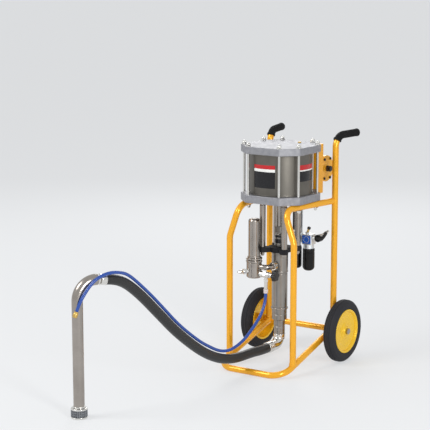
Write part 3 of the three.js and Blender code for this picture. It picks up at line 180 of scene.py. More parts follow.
def smooth_line(points, spacing=4.0):
    """A natural cubic spline through points, by its tridiagonal system, at an even spacing."""
    p = np.array(points, float)
    t = np.concatenate([[0], np.cumsum(np.linalg.norm(np.diff(p, axis=0), axis=1))])
    h = np.diff(t)
    n = len(p)
    system = np.eye(n)
    right = np.zeros_like(p)
    inner = np.arange(1, n - 1)
    system[inner, inner - 1] = h[:-1]
    system[inner, inner] = 2 * (h[:-1] + h[1:])
    system[inner, inner + 1] = h[1:]
    slope = np.diff(p, axis=0) / h[:, None]
    right[1:-1] = 6 * np.diff(slope, axis=0)
    bend = np.linalg.solve(system, right)
    s = np.linspace(0, t[-1], max(8, int(t[-1] / spacing)))
    k = np.clip(np.searchsorted(t, s, side="right") - 1, 0, n - 2)
    a = (t[k + 1] - s)[:, None]
    b = (s - t[k])[:, None]
    w = h[k][:, None]
    return (
        bend[k] * a**3 / (6 * w)
        + bend[k + 1] * b**3 / (6 * w)
        + (p[k] / w - bend[k] * w / 6) * a
        + (p[k + 1] / w - bend[k + 1] * w / 6) * b
    )


def tube(line, radius, columns=40, ease=1.0):
    """A round bar along a line: each station's circle lies square to the line, on two axes
    made from the tangent and the direction that the line turns least towards. The radius is
    one number or one for each station, and both ends close over a quarter-round edge."""
    line = np.asarray(line, float)
    radius = np.array(np.broadcast_to(np.asarray(radius, float), (len(line),)))
    tangent = np.gradient(line, axis=0)
    tangent[0], tangent[-1] = line[1] - line[0], line[-1] - line[-2]
    tangent /= np.linalg.norm(tangent, axis=1, keepdims=True)
    turn = np.linspace(0, np.pi / 2, 4)
    inwards = np.concatenate([[0.0], ease * (1 - np.cos(turn)), [ease * 2.0]])
    smaller = np.concatenate([[0.0], ease * (1 - np.sin(turn)), [0.0]])
    first = line[0] + tangent[0] * inwards[:, None]
    last = (line[-1] - tangent[-1] * inwards[:, None])[::-1]
    first_radius = radius[0] - smaller
    last_radius = (radius[-1] - smaller)[::-1]
    first_radius[0] = last_radius[-1] = 0.0
    line = np.concatenate([first, line[1:-1], last])
    radius = np.concatenate([first_radius, radius[1:-1], last_radius])
    ends = (np.repeat(tangent[:1], 6, axis=0), np.repeat(tangent[-1:], 6, axis=0))
    tangent = np.concatenate([ends[0], tangent[1:-1], ends[1]])
    least = np.linalg.svd(tangent, full_matrices=True)[2][-1]
    side = np.cross(tangent, least)
    side /= np.linalg.norm(side, axis=1, keepdims=True)
    up = np.cross(side, tangent)
    angle = np.arange(columns) / columns * 2 * np.pi
    circle = np.cos(angle)[:, None] * side[:, None] + np.sin(angle)[:, None] * up[:, None]
    return line[:, None] + radius[:, None, None] * circle, False


def aimed(grid, axis="z", at=(0.0, 0.0, 0.0), turn=0.0):
    """The same grid with its own Z laid along an axis, turned about it, and moved to a place."""
    points, ring = grid
    letters = {
        "x": (1, 0, 0), "y": (0, 1, 0), "z": (0, 0, 1), "-x": (-1, 0, 0), "-y": (0, -1, 0), "-z": (0, 0, -1)
    }
    direction = Vector(letters[axis] if isinstance(axis, str) else axis).normalized()
    rotation = direction.to_track_quat("Z", "Y").to_matrix() @ Matrix.Rotation(turn, 3, "Z")
    return points @ np.array(rotation).T + np.array(at, float), ring


def faces_of(grid, ring):
    """Vertices, faces and UVs of a grid: columns always close round, rows close if it is a
    ring, rows whose points meet become one pole, and all faces point outwards."""
    rows, columns = grid.shape[:2]
    index = np.arange(rows * columns).reshape(rows, columns)
    pole = np.ptp(grid, axis=1).max(axis=1) < 1e-6
    index[pole] = index[pole, :1]
    wide = np.concatenate([index, index[:, :1]], axis=1)
    if ring:
        wide = np.concatenate([wide, wide[:1]], axis=0)
    high, across = wide.shape
    vertex = wide.ravel()
    shape = np.concatenate([grid, grid[:, :1]], axis=1)
    if ring:
        shape = np.concatenate([shape, shape[:1]], axis=0)
    step = np.linalg.norm(np.diff(shape, axis=0), axis=2).mean(axis=1)
    v = np.concatenate([[0], np.cumsum(step)]) * MM
    uv = np.stack(np.meshgrid(np.linspace(0, 1, across), v), axis=-1).reshape(-1, 2)
    place = np.arange(high * across).reshape(high, across)
    quads = np.stack(
        [place[:-1, :-1], place[:-1, 1:], place[1:, 1:], place[1:, :-1]], axis=-1
    ).reshape(-1, 4)
    same_low = vertex[quads[:, 0]] == vertex[quads[:, 1]]
    same_high = vertex[quads[:, 2]] == vertex[quads[:, 3]]
    faces = [
        quads[~same_low & ~same_high],
        quads[same_low & ~same_high][:, [0, 2, 3]],
        quads[same_high & ~same_low][:, [0, 1, 2]],
    ]
    flat = grid.reshape(-1, 3)
    centre = flat.mean(axis=0)
    volume = sum(
        np.einsum(
            "ij,ij->", flat[vertex[f[:, 0]]] - centre,
            np.cross(flat[vertex[f[:, k]]] - centre, flat[vertex[f[:, k + 1]]] - centre)
        )
        for f in faces
        for k in range(1, f.shape[1] - 1)
    )
    if volume < 0:
        faces = [f[:, ::-1] for f in faces]
    used = np.unique(vertex)
    lookup = np.zeros(rows * columns, int)
    lookup[used] = np.arange(len(used))
    return flat[used], [lookup[vertex[f]] for f in faces], [uv[f] for f in faces]


def piece(name, body, grids, finish, nodes=(), sharp=32.0):
    """One object from grids in pump millimetres. grids is a list of grids, or of (grid,
    finish index) pairs where the piece has several finishes."""
    finishes = finish if isinstance(finish, (list, tuple)) else [finish]
    points, faces, uvs, kinds, offset = [], [], [], [], 0
    for item in grids:
        kind = 0
        if len(item) == 2 and isinstance(item[0], tuple):
            item, kind = item
        verts, groups, coordinates = faces_of(*item)
        points.append(verts)
        for group, uv in zip(groups, coordinates):
            faces.extend((group + offset).tolist())
            uvs.append(uv.reshape(-1, 2))
            kinds.append(np.full(len(group), kind))
        offset += len(verts)
    placed = (np.concatenate(points) + np.array([0.0, PUMP_Y, 0.0])) * MM
    mesh = bpy.data.meshes.new(name)
    mesh.from_pydata(placed.tolist(), [], faces)
    mesh.uv_layers.new(name="UVMap").data.foreach_set("uv", np.concatenate(uvs).ravel())
    for entry in finishes:
        mesh.materials.append(material(entry))
    mesh.polygons.foreach_set("material_index", np.concatenate(kinds).astype(np.int32))
    mesh.polygons.foreach_set("use_smooth", np.ones(len(faces), dtype=bool))
    mesh.set_sharp_from_angle(angle=math.radians(sharp))
    mesh.update()
    thing = bpy.data.objects.new(name, mesh)
    bpy.context.scene.collection.objects.link(thing)
    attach(thing, body)
    if nodes:
        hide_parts(*nodes)
    return thing


def polar_slab(radius, low, high, ease=1.0):
    """A plate whose edge is a radius at each of evenly spaced angles: the edge is rounded
    above and below over a quarter circle, and the faces run in to the axis."""
    turn = np.linspace(0, np.pi / 2, 4)
    distance = np.concatenate([[ease * 2.2], ease * (1 - np.sin(turn)), [0.0]])
    height = np.concatenate([[0.0], ease * (1 - np.cos(turn)), [ease * 1.2]])
    angle = np.arange(len(radius)) / len(radius) * 2 * np.pi
    circle = np.stack([np.cos(angle), np.sin(angle), 0 * angle], axis=1)
    up = np.array([0.0, 0.0, 1.0])
    reach = np.concatenate([[0 * radius], radius[None] - distance[:, None]])
    rise = np.concatenate([[0.0], height])
    lower = reach[:, :, None] * circle + up * (low + rise)[:, None, None]
    upper = reach[:, :, None] * circle + up * (high - rise)[:, None, None]
    return np.concatenate([lower, upper[::-1]]), False


def wrapped_plate(radius, start, end, low, high, thickness=0.5):
    """A thin plate bent round the motor: its upright section, a rounded rectangle of radius
    and height, is carried round the axis from one angle to another."""
    section = rectangle(thickness, high - low, thickness * 0.4, (radius, (low + high) / 2))
    angle = np.radians(np.linspace(start, end, 25))[:, None]
    rows = np.stack(
        [section[:, 0] * np.cos(angle), section[:, 0] * np.sin(angle), section[:, 1] + 0 * angle],
        axis=-1,
    )
    middle = rows.mean(axis=1, keepdims=True)
    first = np.broadcast_to(middle[:1], rows[:1].shape)
    last = np.broadcast_to(middle[-1:], rows[-1:].shape)
    return np.concatenate([first, rows, last]), False


def lengths_of(line):
    return np.concatenate([[0], np.cumsum(np.linalg.norm(np.diff(line, axis=0), axis=1))])


def part_of(line, start, end, step):
    """The stretch of a line between two lengths from its start, at even steps."""
    place = lengths_of(line)
    where = np.linspace(start, end, max(4, int((end - start) / step)))
    return np.stack([np.interp(where, place, line[:, k]) for k in range(3)], axis=1)


def flared(line, radius, start=0.0, end=0.0, reach=5.0):
    """Radii along a tube that swell at its ends, as its weld beads do: the swelling falls off
    as the square of the distance left to the reach."""
    place = lengths_of(line)
    near = np.clip(1 - place / reach, 0, 1) ** 2
    far = np.clip(1 - (place[-1] - place) / reach, 0, 1) ** 2
    return radius + start * near + end * far


# ---------------------------------------------------------------- finishes


def written(red, green, blue):
    """A colour given as it looks on a screen, from 0 to 255, as linear light."""
    value = np.array([red, green, blue]) / 255.0
    linear = np.where(value <= 0.04045, value / 12.92, ((value + 0.055) / 1.055) ** 2.4)
    return (*[float(v) for v in linear], 1.0)


# Each finish: base colour, second colour of its mottle, roughness from and to, metallic,
# scale of the mottle, scale and depth in metres of the grain, stretch of the grain, coat.
FINISHES = {
    "yellow_paint": (
        written(250, 172, 0), written(246, 162, 0), (0.26, 0.36), 0.0, 9, 900, 0.00002, (1, 1, 1), 0.1
    ),
    "wheel_paint": (
        written(255, 230, 22), written(252, 222, 16), (0.4, 0.52), 0.0, 14, 700, 0.00003, (1, 1, 1), 0.0
    ),
    "cast_metal": (
        written(152, 152, 156), written(138, 138, 143), (0.42, 0.54), 0.45, 60, 420, 0.00006, (1, 1, 1), 0.0
    ),
    "brushed_steel": (
        written(118, 114, 107), written(104, 101, 95), (0.36, 0.44), 1.0, 5, 400, 0.00002, (0.05, 0.05, 1),
        0.0
    ),
    "bright_steel": (
        written(168, 165, 161), written(156, 153, 149), (0.26, 0.34), 1.0, 12, 500, 0.000004, (1, 1, 1), 0.0
    ),
    "turned_steel": (
        written(158, 153, 147), written(144, 140, 134), (0.26, 0.34), 1.0, 10, 500, 0.000006,
        (0.04, 0.04, 1), 0.0
    ),
    "chrome": (
        written(170, 163, 156), written(158, 151, 144), (0.2, 0.27), 1.0, 12, 300, 0.000003, (1, 1, 1), 0.0
    ),
    "dark_plate": (
        written(24, 24, 26), written(15, 15, 17), (0.35, 0.5), 0.2, 40, 600, 0.00008, (1, 1, 1), 0.0
    ),
    "dark_steel": (
        written(66, 66, 70), written(48, 48, 52), (0.25, 0.4), 0.8, 40, 700, 0.00004, (1, 1, 1), 0.0
    ),
    "tyre_rubber": (
        written(22, 22, 23), written(14, 14, 15), (0.5, 0.68), 0.0, 30, 900, 0.00012, (1, 1, 1), 0.0
    ),
    "grip_rubber": (
        written(14, 14, 15), written(9, 9, 10), (0.5, 0.66), 0.0, 40, 1400, 0.0001, (1, 1, 1), 0.0
    ),
    "hose_rubber": (
        written(12, 12, 13), written(8, 8, 9), (0.3, 0.42), 0.0, 20, 700, 0.00005, (1, 1, 1), 0.0
    ),
    "blue_hose": (
        written(26, 44, 148), written(18, 32, 120), (0.14, 0.24), 0.0, 16, 600, 0.00002, (1, 1, 1), 0.3
    ),
    "black_plastic": (
        written(14, 14, 16), written(10, 10, 12), (0.26, 0.38), 0.0, 30, 1500, 0.00003, (1, 1, 1), 0.05
    ),
    "gloss_black": (
        written(9, 9, 10), written(6, 6, 7), (0.12, 0.2), 0.0, 20, 500, 0.00001, (1, 1, 1), 0.2
    ),
    "silver_body": (
        written(206, 207, 210), written(194, 196, 200), (0.34, 0.46), 0.35, 30, 600, 0.00003, (1, 1, 1), 0.0
    ),
    "brass_fitting": (
        written(206, 160, 84), written(186, 140, 66), (0.16, 0.28), 1.0, 30, 900, 0.00002, (1, 1, 1), 0.0
    ),
    "filter_mesh": (
        written(120, 112, 108), written(74, 64, 60), (0.35, 0.5), 0.8, 300, 1500, 0.0002, (1, 1, 1), 0.0
    ),
    "label_red": (
        written(190, 30, 34), written(176, 24, 28), (0.2, 0.3), 0.0, 20, 800, 0.00001, (1, 1, 1), 0.3
    ),
    "label_white": (
        written(236, 236, 232), written(226, 226, 222), (0.2, 0.3), 0.0, 20, 800, 0.00001, (1, 1, 1), 0.3
    ),
    "label_black": (
        written(28, 28, 31), written(22, 22, 25), (0.2, 0.3), 0.0, 20, 800, 0.00001, (1, 1, 1), 0.3
    ),
    "panel_blue": (
        written(40, 96, 190), written(34, 84, 172), (0.22, 0.34), 0.0, 20, 800, 0.00001, (1, 1, 1), 0.2
    ),
    "ferrule_plastic": (
        written(226, 214, 212), written(212, 200, 198), (0.3, 0.42), 0.0, 30, 900, 0.00002, (1, 1, 1), 0.0
    ),
    "sight_glass": (
        written(228, 232, 236), written(216, 222, 228), (0.06, 0.12), 0.0, 20, 400, 0.00001, (1, 1, 1), 0.4
    ),
}


# finishes whose own colour is so deep that a full reflection would grey it
DULL = (
    "tyre_rubber", "grip_rubber", "hose_rubber", "black_plastic", "gloss_black", "dark_plate", "label_black"
)


def new_group(name, inputs, outputs):
    group = bpy.data.node_groups.new(name, "ShaderNodeTree")
    for label, kind, default in inputs:
        socket = group.interface.new_socket(name=label, in_out="INPUT", socket_type=kind)
        if default is not None:
            socket.default_value = default
    for label, kind in outputs:
        group.interface.new_socket(name=label, in_out="OUTPUT", socket_type=kind)
    return group, group.nodes.new("NodeGroupInput"), group.nodes.new("NodeGroupOutput")


def surface_group():
    """Mottled colour, uneven roughness and a fine grain, from noise on the given vector."""
    if "Worked surface" in bpy.data.node_groups:
        return bpy.data.node_groups["Worked surface"]
    group, given, result = new_group(
        "Worked surface",
        [
            ("Vector", "NodeSocketVector", None),
            ("Grain vector", "NodeSocketVector", None),
            ("Colour", "NodeSocketColor", (0.5, 0.5, 0.5, 1)),
            ("Second colour", "NodeSocketColor", (0.4, 0.4, 0.4, 1)),
            ("Mottle scale", "NodeSocketFloat", 20.0),
            ("Grain scale", "NodeSocketFloat", 600.0),
            ("Smoothest", "NodeSocketFloat", 0.3),
            ("Roughest", "NodeSocketFloat", 0.5),
        ],
        [("Colour", "NodeSocketColor"), ("Roughness", "NodeSocketFloat"), ("Height", "NodeSocketFloat")],
    )
    nodes, link = group.nodes, group.links.new
    mottle = nodes.new("ShaderNodeTexNoise")
    mottle.inputs["Detail"].default_value = 6
    mottle.inputs["Roughness"].default_value = 0.62
    spread = nodes.new("ShaderNodeMapRange")
    spread.inputs["From Min"].default_value = 0.36
    spread.inputs["From Max"].default_value = 0.64
    grain = nodes.new("ShaderNodeTexNoise")
    grain.inputs["Detail"].default_value = 3
    blend = nodes.new("ShaderNodeMix")
    blend.data_type = "RGBA"
    rough = nodes.new("ShaderNodeMapRange")
    link(given.outputs["Vector"], mottle.inputs["Vector"])
    link(given.outputs["Mottle scale"], mottle.inputs["Scale"])
    link(given.outputs["Grain vector"], grain.inputs["Vector"])
    link(given.outputs["Grain scale"], grain.inputs["Scale"])
    link(mottle.outputs["Fac"], spread.inputs["Value"])
    link(spread.outputs["Result"], blend.inputs["Factor"])
    link(given.outputs["Colour"], blend.inputs[6])
    link(given.outputs["Second colour"], blend.inputs[7])
    link(mottle.outputs["Fac"], rough.inputs["Value"])
    rough.inputs["From Min"].default_value = 0.3
    rough.inputs["From Max"].default_value = 0.7
    link(given.outputs["Smoothest"], rough.inputs["To Min"])
    link(given.outputs["Roughest"], rough.inputs["To Max"])
    link(blend.outputs[2], result.inputs["Colour"])
    link(rough.outputs["Result"], result.inputs["Roughness"])
    link(grain.outputs["Fac"], result.inputs["Height"])
    return group


def rubbed_edges_and_shade_group():
    """Edges rubbed lighter, and painted shade in the hollows: where the surface bends outwards,
    broken up by noise, the worn colour is mixed over the colour; where it bends inwards, a dark painted-shade colour."""
    if "Worn edges and hollow shade" in bpy.data.node_groups:
        return bpy.data.node_groups["Worn edges and hollow shade"]
    group, given, result = new_group(
        "Worn edges and hollow shade",
        [
            ("Vector", "NodeSocketVector", None),
            ("Colour", "NodeSocketColor", (0.5, 0.5, 0.5, 1)),
            ("Worn colour", "NodeSocketColor", (0.8, 0.8, 0.8, 1)),
            # the dark colour of the painted shade laid into the hollows
            ("Painted hollow shade colour", "NodeSocketColor", (0.05, 0.045, 0.04, 1)),
            ("Wear", "NodeSocketFloat", 0.5),
            ("Painted hollow shade", "NodeSocketFloat", 0.4),
        ],
        [("Colour", "NodeSocketColor")],
    )
    nodes, link = group.nodes, group.links.new
    bend = nodes.new("ShaderNodeNewGeometry")
    edge = nodes.new("ShaderNodeMapRange")
    edge.inputs["From Min"].default_value = 0.53
    edge.inputs["From Max"].default_value = 0.62
    # painted shade: where the surface bends inwards, by its pointiness, the colour is darkened
    hollow = nodes.new("ShaderNodeMapRange")
    hollow.inputs["From Min"].default_value = 0.48
    hollow.inputs["From Max"].default_value = 0.38
    speck = nodes.new("ShaderNodeTexNoise")
    speck.inputs["Scale"].default_value = 120
    broken = nodes.new("ShaderNodeMath")
    broken.operation = "MULTIPLY"
    amount = nodes.new("ShaderNodeMath")
    amount.operation = "MULTIPLY"
    low = nodes.new("ShaderNodeMath")
    low.operation = "MULTIPLY"
    worn = nodes.new("ShaderNodeMix")
    worn.data_type = "RGBA"
    shaded_hollows = nodes.new("ShaderNodeMix")
    shaded_hollows.data_type = "RGBA"
    link(given.outputs["Vector"], speck.inputs["Vector"])
    link(bend.outputs["Pointiness"], edge.inputs["Value"])
    link(bend.outputs["Pointiness"], hollow.inputs["Value"])
    link(edge.outputs["Result"], broken.inputs[0])
    link(speck.outputs["Fac"], broken.inputs[1])
    link(broken.outputs["Value"], amount.inputs[0])
    link(given.outputs["Wear"], amount.inputs[1])
    link(hollow.outputs["Result"], low.inputs[0])
    link(given.outputs["Painted hollow shade"], low.inputs[1])
    link(amount.outputs["Value"], worn.inputs["Factor"])
    link(given.outputs["Colour"], worn.inputs[6])
    link(given.outputs["Worn colour"], worn.inputs[7])
    # painted shade: the hollow mask, times its strength, mixes the dark shade colour over the worn colour
    link(low.outputs["Value"], shaded_hollows.inputs["Factor"])
    link(worn.outputs[2], shaded_hollows.inputs[6])
    link(given.outputs["Painted hollow shade colour"], shaded_hollows.inputs[7])
    link(shaded_hollows.outputs[2], result.inputs["Colour"])
    return group


def material(finish):
    """The named finish as a material: worked surface, worn edges, painted shade in the hollows and a fine bump."""
    if finish in bpy.data.materials:
        return bpy.data.materials[finish]
    colour, second, rough, metallic, mottle_scale, grain_scale, depth, stretch, coat = FINISHES[finish]
    chosen = {
        "yellow_paint": bpy.context.scene.sprayer_colours.paint,
        "wheel_paint": bpy.context.scene.sprayer_colours.wheels,
        "blue_hose": bpy.context.scene.sprayer_colours.return_hose,
    }
    if finish in chosen:
        colour = (*chosen[finish], 1.0)
    made = bpy.data.materials.new(finish)
    made.use_nodes = True
    nodes, link = made.node_tree.nodes, made.node_tree.links.new
    shader = nodes["Principled BSDF"]
    shader.inputs["Metallic"].default_value = metallic
    shader.inputs["Coat Weight"].default_value = coat
    shader.inputs["Coat Roughness"].default_value = 0.08
    shader.inputs["Specular IOR Level"].default_value = 0.2 if finish in DULL else 0.35
    where = nodes.new("ShaderNodeTexCoord")
    stretched = nodes.new("ShaderNodeMapping")
    stretched.inputs["Scale"].default_value = stretch
    work = nodes.new("ShaderNodeGroup")
    work.node_tree = surface_group()
    work.inputs["Colour"].default_value = colour
    work.inputs["Second colour"].default_value = second
    work.inputs["Mottle scale"].default_value = mottle_scale
    work.inputs["Grain scale"].default_value = grain_scale
    work.inputs["Smoothest"].default_value = rough[0]
    work.inputs["Roughest"].default_value = rough[1]
    wear_and_shade = nodes.new("ShaderNodeGroup")
    wear_and_shade.node_tree = rubbed_edges_and_shade_group()
    brighter = [min(1.0, c * 1.35 + 0.03) for c in colour[:3]]
    wear_and_shade.inputs["Worn colour"].default_value = (*brighter, 1.0)
    wear_and_shade.inputs["Wear"].default_value = 0.35 if metallic else 0.3
    # strength of the painted shade that darkens the hollows
    wear_and_shade.inputs["Painted hollow shade"].default_value = 0.35
    bump = nodes.new("ShaderNodeBump")
    bump.inputs["Strength"].default_value = 1.0
    bump.inputs["Distance"].default_value = depth
    link(where.outputs["Object"], work.inputs["Vector"])
    link(where.outputs["Object"], stretched.inputs["Vector"])
    link(stretched.outputs["Vector"], work.inputs["Grain vector"])
    link(where.outputs["Object"], wear_and_shade.inputs["Vector"])
    link(work.outputs["Colour"], wear_and_shade.inputs["Colour"])
    link(wear_and_shade.outputs["Colour"], shader.inputs["Base Color"])
    link(work.outputs["Roughness"], shader.inputs["Roughness"])
    link(work.outputs["Height"], bump.inputs["Height"])
    link(bump.outputs["Normal"], shader.inputs["Normal"])
    return made


def refinish(node, finish):
    """Gives a carried solid its finish: it keeps its shape."""
    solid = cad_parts[node]
    solid.data.materials.clear()
    solid.data.materials.append(material(finish))


# ---------------------------------------------------------------- the object's own numbers

TUBE_RADIUS = 12.5
FRONT = -217.0
WHEEL_RADIUS = 125.0
UPRIGHT_X = 152.0
LEG_Y = -136.0
ARM_HEIGHT = 646.6
GRIP_HEIGHT = 905.0
WHEEL_X = 195.0
MOTOR_LOW = 659.4
LOWER_PLATE_THICKNESS = 30
UPPER_PLATE_LOW, UPPER_PLATE_TOP = 850, 878
PLATE_EASE = 1.6
CYLINDER_RADIUS = 125.0
PLATE_HALF_WIDTH = 137.0
PLATE_CHAMFER = 61.6
TIE_ROD_PLACES = [(sx * x, sy * y) for x, y in ((124, 70), (70, 124)) for sx in (1, -1) for sy in (1, -1)]
PUMP_ROD_PLACES = [(50, 50), (50, -50), (-50, -50), (-50, 50)]
VALVE_AT = (0.0, 226.0, 762.0)
MANIFOLD_LOW, MANIFOLD_TOP = 672, 868
COVER_BOLTS = 6
COVER_BOLT_CIRCLE = 44
FLANGE_LOW, FLANGE_TOP = 454, 474
FLANGE_RADIUS = 46
EAR_RADIUS = 16
EAR_CIRCLE = 70.7  # where the posts stand
FILTER_AT = (-63.0, -90.0, 0.0)
SPRAY_OUTLET_HEIGHT = 385.0
DRAIN_HEIGHT = 374
OUTLET_HEIGHT = 402
AIR_Y = 100.0
REGULATOR_X = 72.0
LUBRICATOR_X = 18.0
SUCTION_TUBE_AT = (-198.0, -1011.0)

SUCTION_HOSE_ROUTE = rows_of(
    (-5.5, -84, 77), (-7.7, -118, 76.2), (-15, -156, 76), (-22, -196, 75), (-29, -236, 73),
    (-37, -278, 74), (-45, -322, 81), (-53, -368, 96), (-61, -414, 118), (-68, -462, 147),
    (-75, -508, 180), (-82, -554, 216), (-90, -600, 256), (-97, -645, 299), (-105, -690, 343),
    (-112, -734, 385), (-118, -774, 420), (-125, -812, 450), (-131.5, -852.5, 473),
    (-138.9, -880.4, 482.7), (-150.9, -910.6, 488.2),
)
RETURN_HOSE_ROUTE = rows_of(
    (-8, -90, 300), (-8.5, -93, 272), (-10.6, -106, 238), (-14, -128, 207), (-20, -167, 171),
    (-26, -208, 141), (-33, -250, 121), (-39, -291, 112), (-45, -330, 114), (-51, -360, 123),
    (-58, -402, 144), (-65, -448, 171), (-72, -493, 203), (-79, -538, 238), (-86, -583, 277),
    (-93, -627, 320), (-100, -672, 364), (-106, -717, 406), (-112, -758, 442), (-116, -798, 474),
    (-118, -838, 498), (-118, -868, 508), (-121, -892, 513), (-127, -914, 514), (-134, -937, 511),
    (-142, -960, 503), (-150, -978, 491), (-157, -991, 476), (-161, -999, 466), (-165.6, -1008, 452),
    (-170.6, -1018.6, 435), (-175.6, -1028.7, 414), (-180, -1037, 392),
)


def unit(vector):
    vector = np.asarray(vector, float)
    return vector / np.linalg.norm(vector)


# ---------------------------------------------------------------- stage


def make_stage():
    scene = bpy.context.scene
    view = scene.sprayer_view
    scene.view_settings.view_transform = "Standard"

    camera = bpy.data.cameras.new("camera")
    camera.sensor_width = 36.0
    camera.lens = view.focal_length
    camera.shift_x, camera.shift_y = -0.00437, 0.08123
    camera.clip_end = 300
    eye = bpy.data.objects.new("camera", camera)
    eye.location = (3.06763, -4.95635, 1.62389)
    eye.rotation_euler = (math.pi / 2 - view.pitch, 0, view.azimuth)
    scene.collection.objects.link(eye)
    scene.camera = eye

    world = bpy.data.worlds.new("studio")
    world.use_nodes = True
    nodes, link = world.node_tree.nodes, world.node_tree.links.new
    nodes.clear()
    seen = nodes.new("ShaderNodeBackground")
    seen.inputs["Color"].default_value = (0.73, 0.74, 0.75, 1)
    lights = nodes.new("ShaderNodeBackground")
    lights.inputs["Color"].default_value = (0.95, 0.97, 1.0, 1)
    lights.inputs["Strength"].default_value = view.ambient
    ray = nodes.new("ShaderNodeLightPath")
    first = nodes.new("ShaderNodeMath")
    first.operation = "MAXIMUM"
    either = nodes.new("ShaderNodeMath")
    either.operation = "MAXIMUM"
    mixed = nodes.new("ShaderNodeMixShader")
    out = nodes.new("ShaderNodeOutputWorld")
    link(ray.outputs["Is Camera Ray"], first.inputs[0])
    link(ray.outputs["Is Transmission Ray"], first.inputs[1])
    link(first.outputs["Value"], either.inputs[0])
    link(ray.outputs["Is Glossy Ray"], either.inputs[1])
    link(either.outputs["Value"], mixed.inputs[0])
    link(lights.outputs["Background"], mixed.inputs[1])
    link(seen.outputs["Background"], mixed.inputs[2])
    link(mixed.outputs["Shader"], out.inputs["Surface"])
    scene.world = world

    half = 90.0
    floor_mesh = bpy.data.meshes.new("floor")
    corners = [(-half, -half, 0), (half, -half, 0), (half, half, 0), (-half, half, 0)]
    floor_mesh.from_pydata(corners, [], [(0, 1, 2, 3)])
    paper = bpy.data.materials.new("floor")
    paper.use_nodes = True
    nodes, link = paper.node_tree.nodes, paper.node_tree.links.new
    nodes["Principled BSDF"].inputs["Base Color"].default_value = (0.84, 0.85, 0.86, 1)
    nodes["Principled BSDF"].inputs["Roughness"].default_value = 0.9
    glow = nodes.new("ShaderNodeEmission")
    glow.inputs["Color"].default_value = (0.86, 0.87, 0.88, 1)
    ray = nodes.new("ShaderNodeLightPath")
    first = nodes.new("ShaderNodeMath")
    first.operation = "MAXIMUM"
    either = nodes.new("ShaderNodeMath")
    either.operation = "MAXIMUM"
    share = nodes.new("ShaderNodeMath")
    share.operation = "MULTIPLY"
    share.inputs[1].default_value = 0.6
    mixed = nodes.new("ShaderNodeMixShader")
    link(ray.outputs["Is Camera Ray"], first.inputs[0])
    link(ray.outputs["Is Transmission Ray"], first.inputs[1])
    link(first.outputs["Value"], either.inputs[0])
    link(ray.outputs["Is Glossy Ray"], either.inputs[1])
    link(either.outputs["Value"], share.inputs[0])
    link(share.outputs["Value"], mixed.inputs[0])
    link(nodes["Principled BSDF"].outputs["BSDF"], mixed.inputs[1])
    link(glow.outputs["Emission"], mixed.inputs[2])
    link(mixed.outputs["Shader"], nodes["Material Output"].inputs["Surface"])
    floor_mesh.materials.append(paper)
    floor = bpy.data.objects.new("floor", floor_mesh)
    floor.location = (0, 0, -0.0005)
    scene.collection.objects.link(floor)

    # name, place, width, height, share of the key light's power
    lamps = [
        ("key", (-2.2, -3.2, 3.6), 1.8, 1.8, 1.0),
        ("side strip", (3.7, -2.7, 1.75), 0.8, 2.2, 1.0),
        ("rear", (-2.1, 3.1, 2.4), 1.6, 1.6, 0.35),
    ]
    for name, place, width, height, share in lamps:
        lamp = bpy.data.lights.new(name, "AREA")
        lamp.shape = "RECTANGLE"
        lamp.size, lamp.size_y = width, height
        lamp.energy = view.key_power * share
        thing = bpy.data.objects.new(name, lamp)
        thing.location = place
        thing.rotation_euler = (Vector((0, 0, 0.6)) - Vector(place)).to_track_quat("-Z", "Y").to_euler()
        thing.visible_camera = False
        scene.collection.objects.link(thing)


# ---------------------------------------------------------------- cords


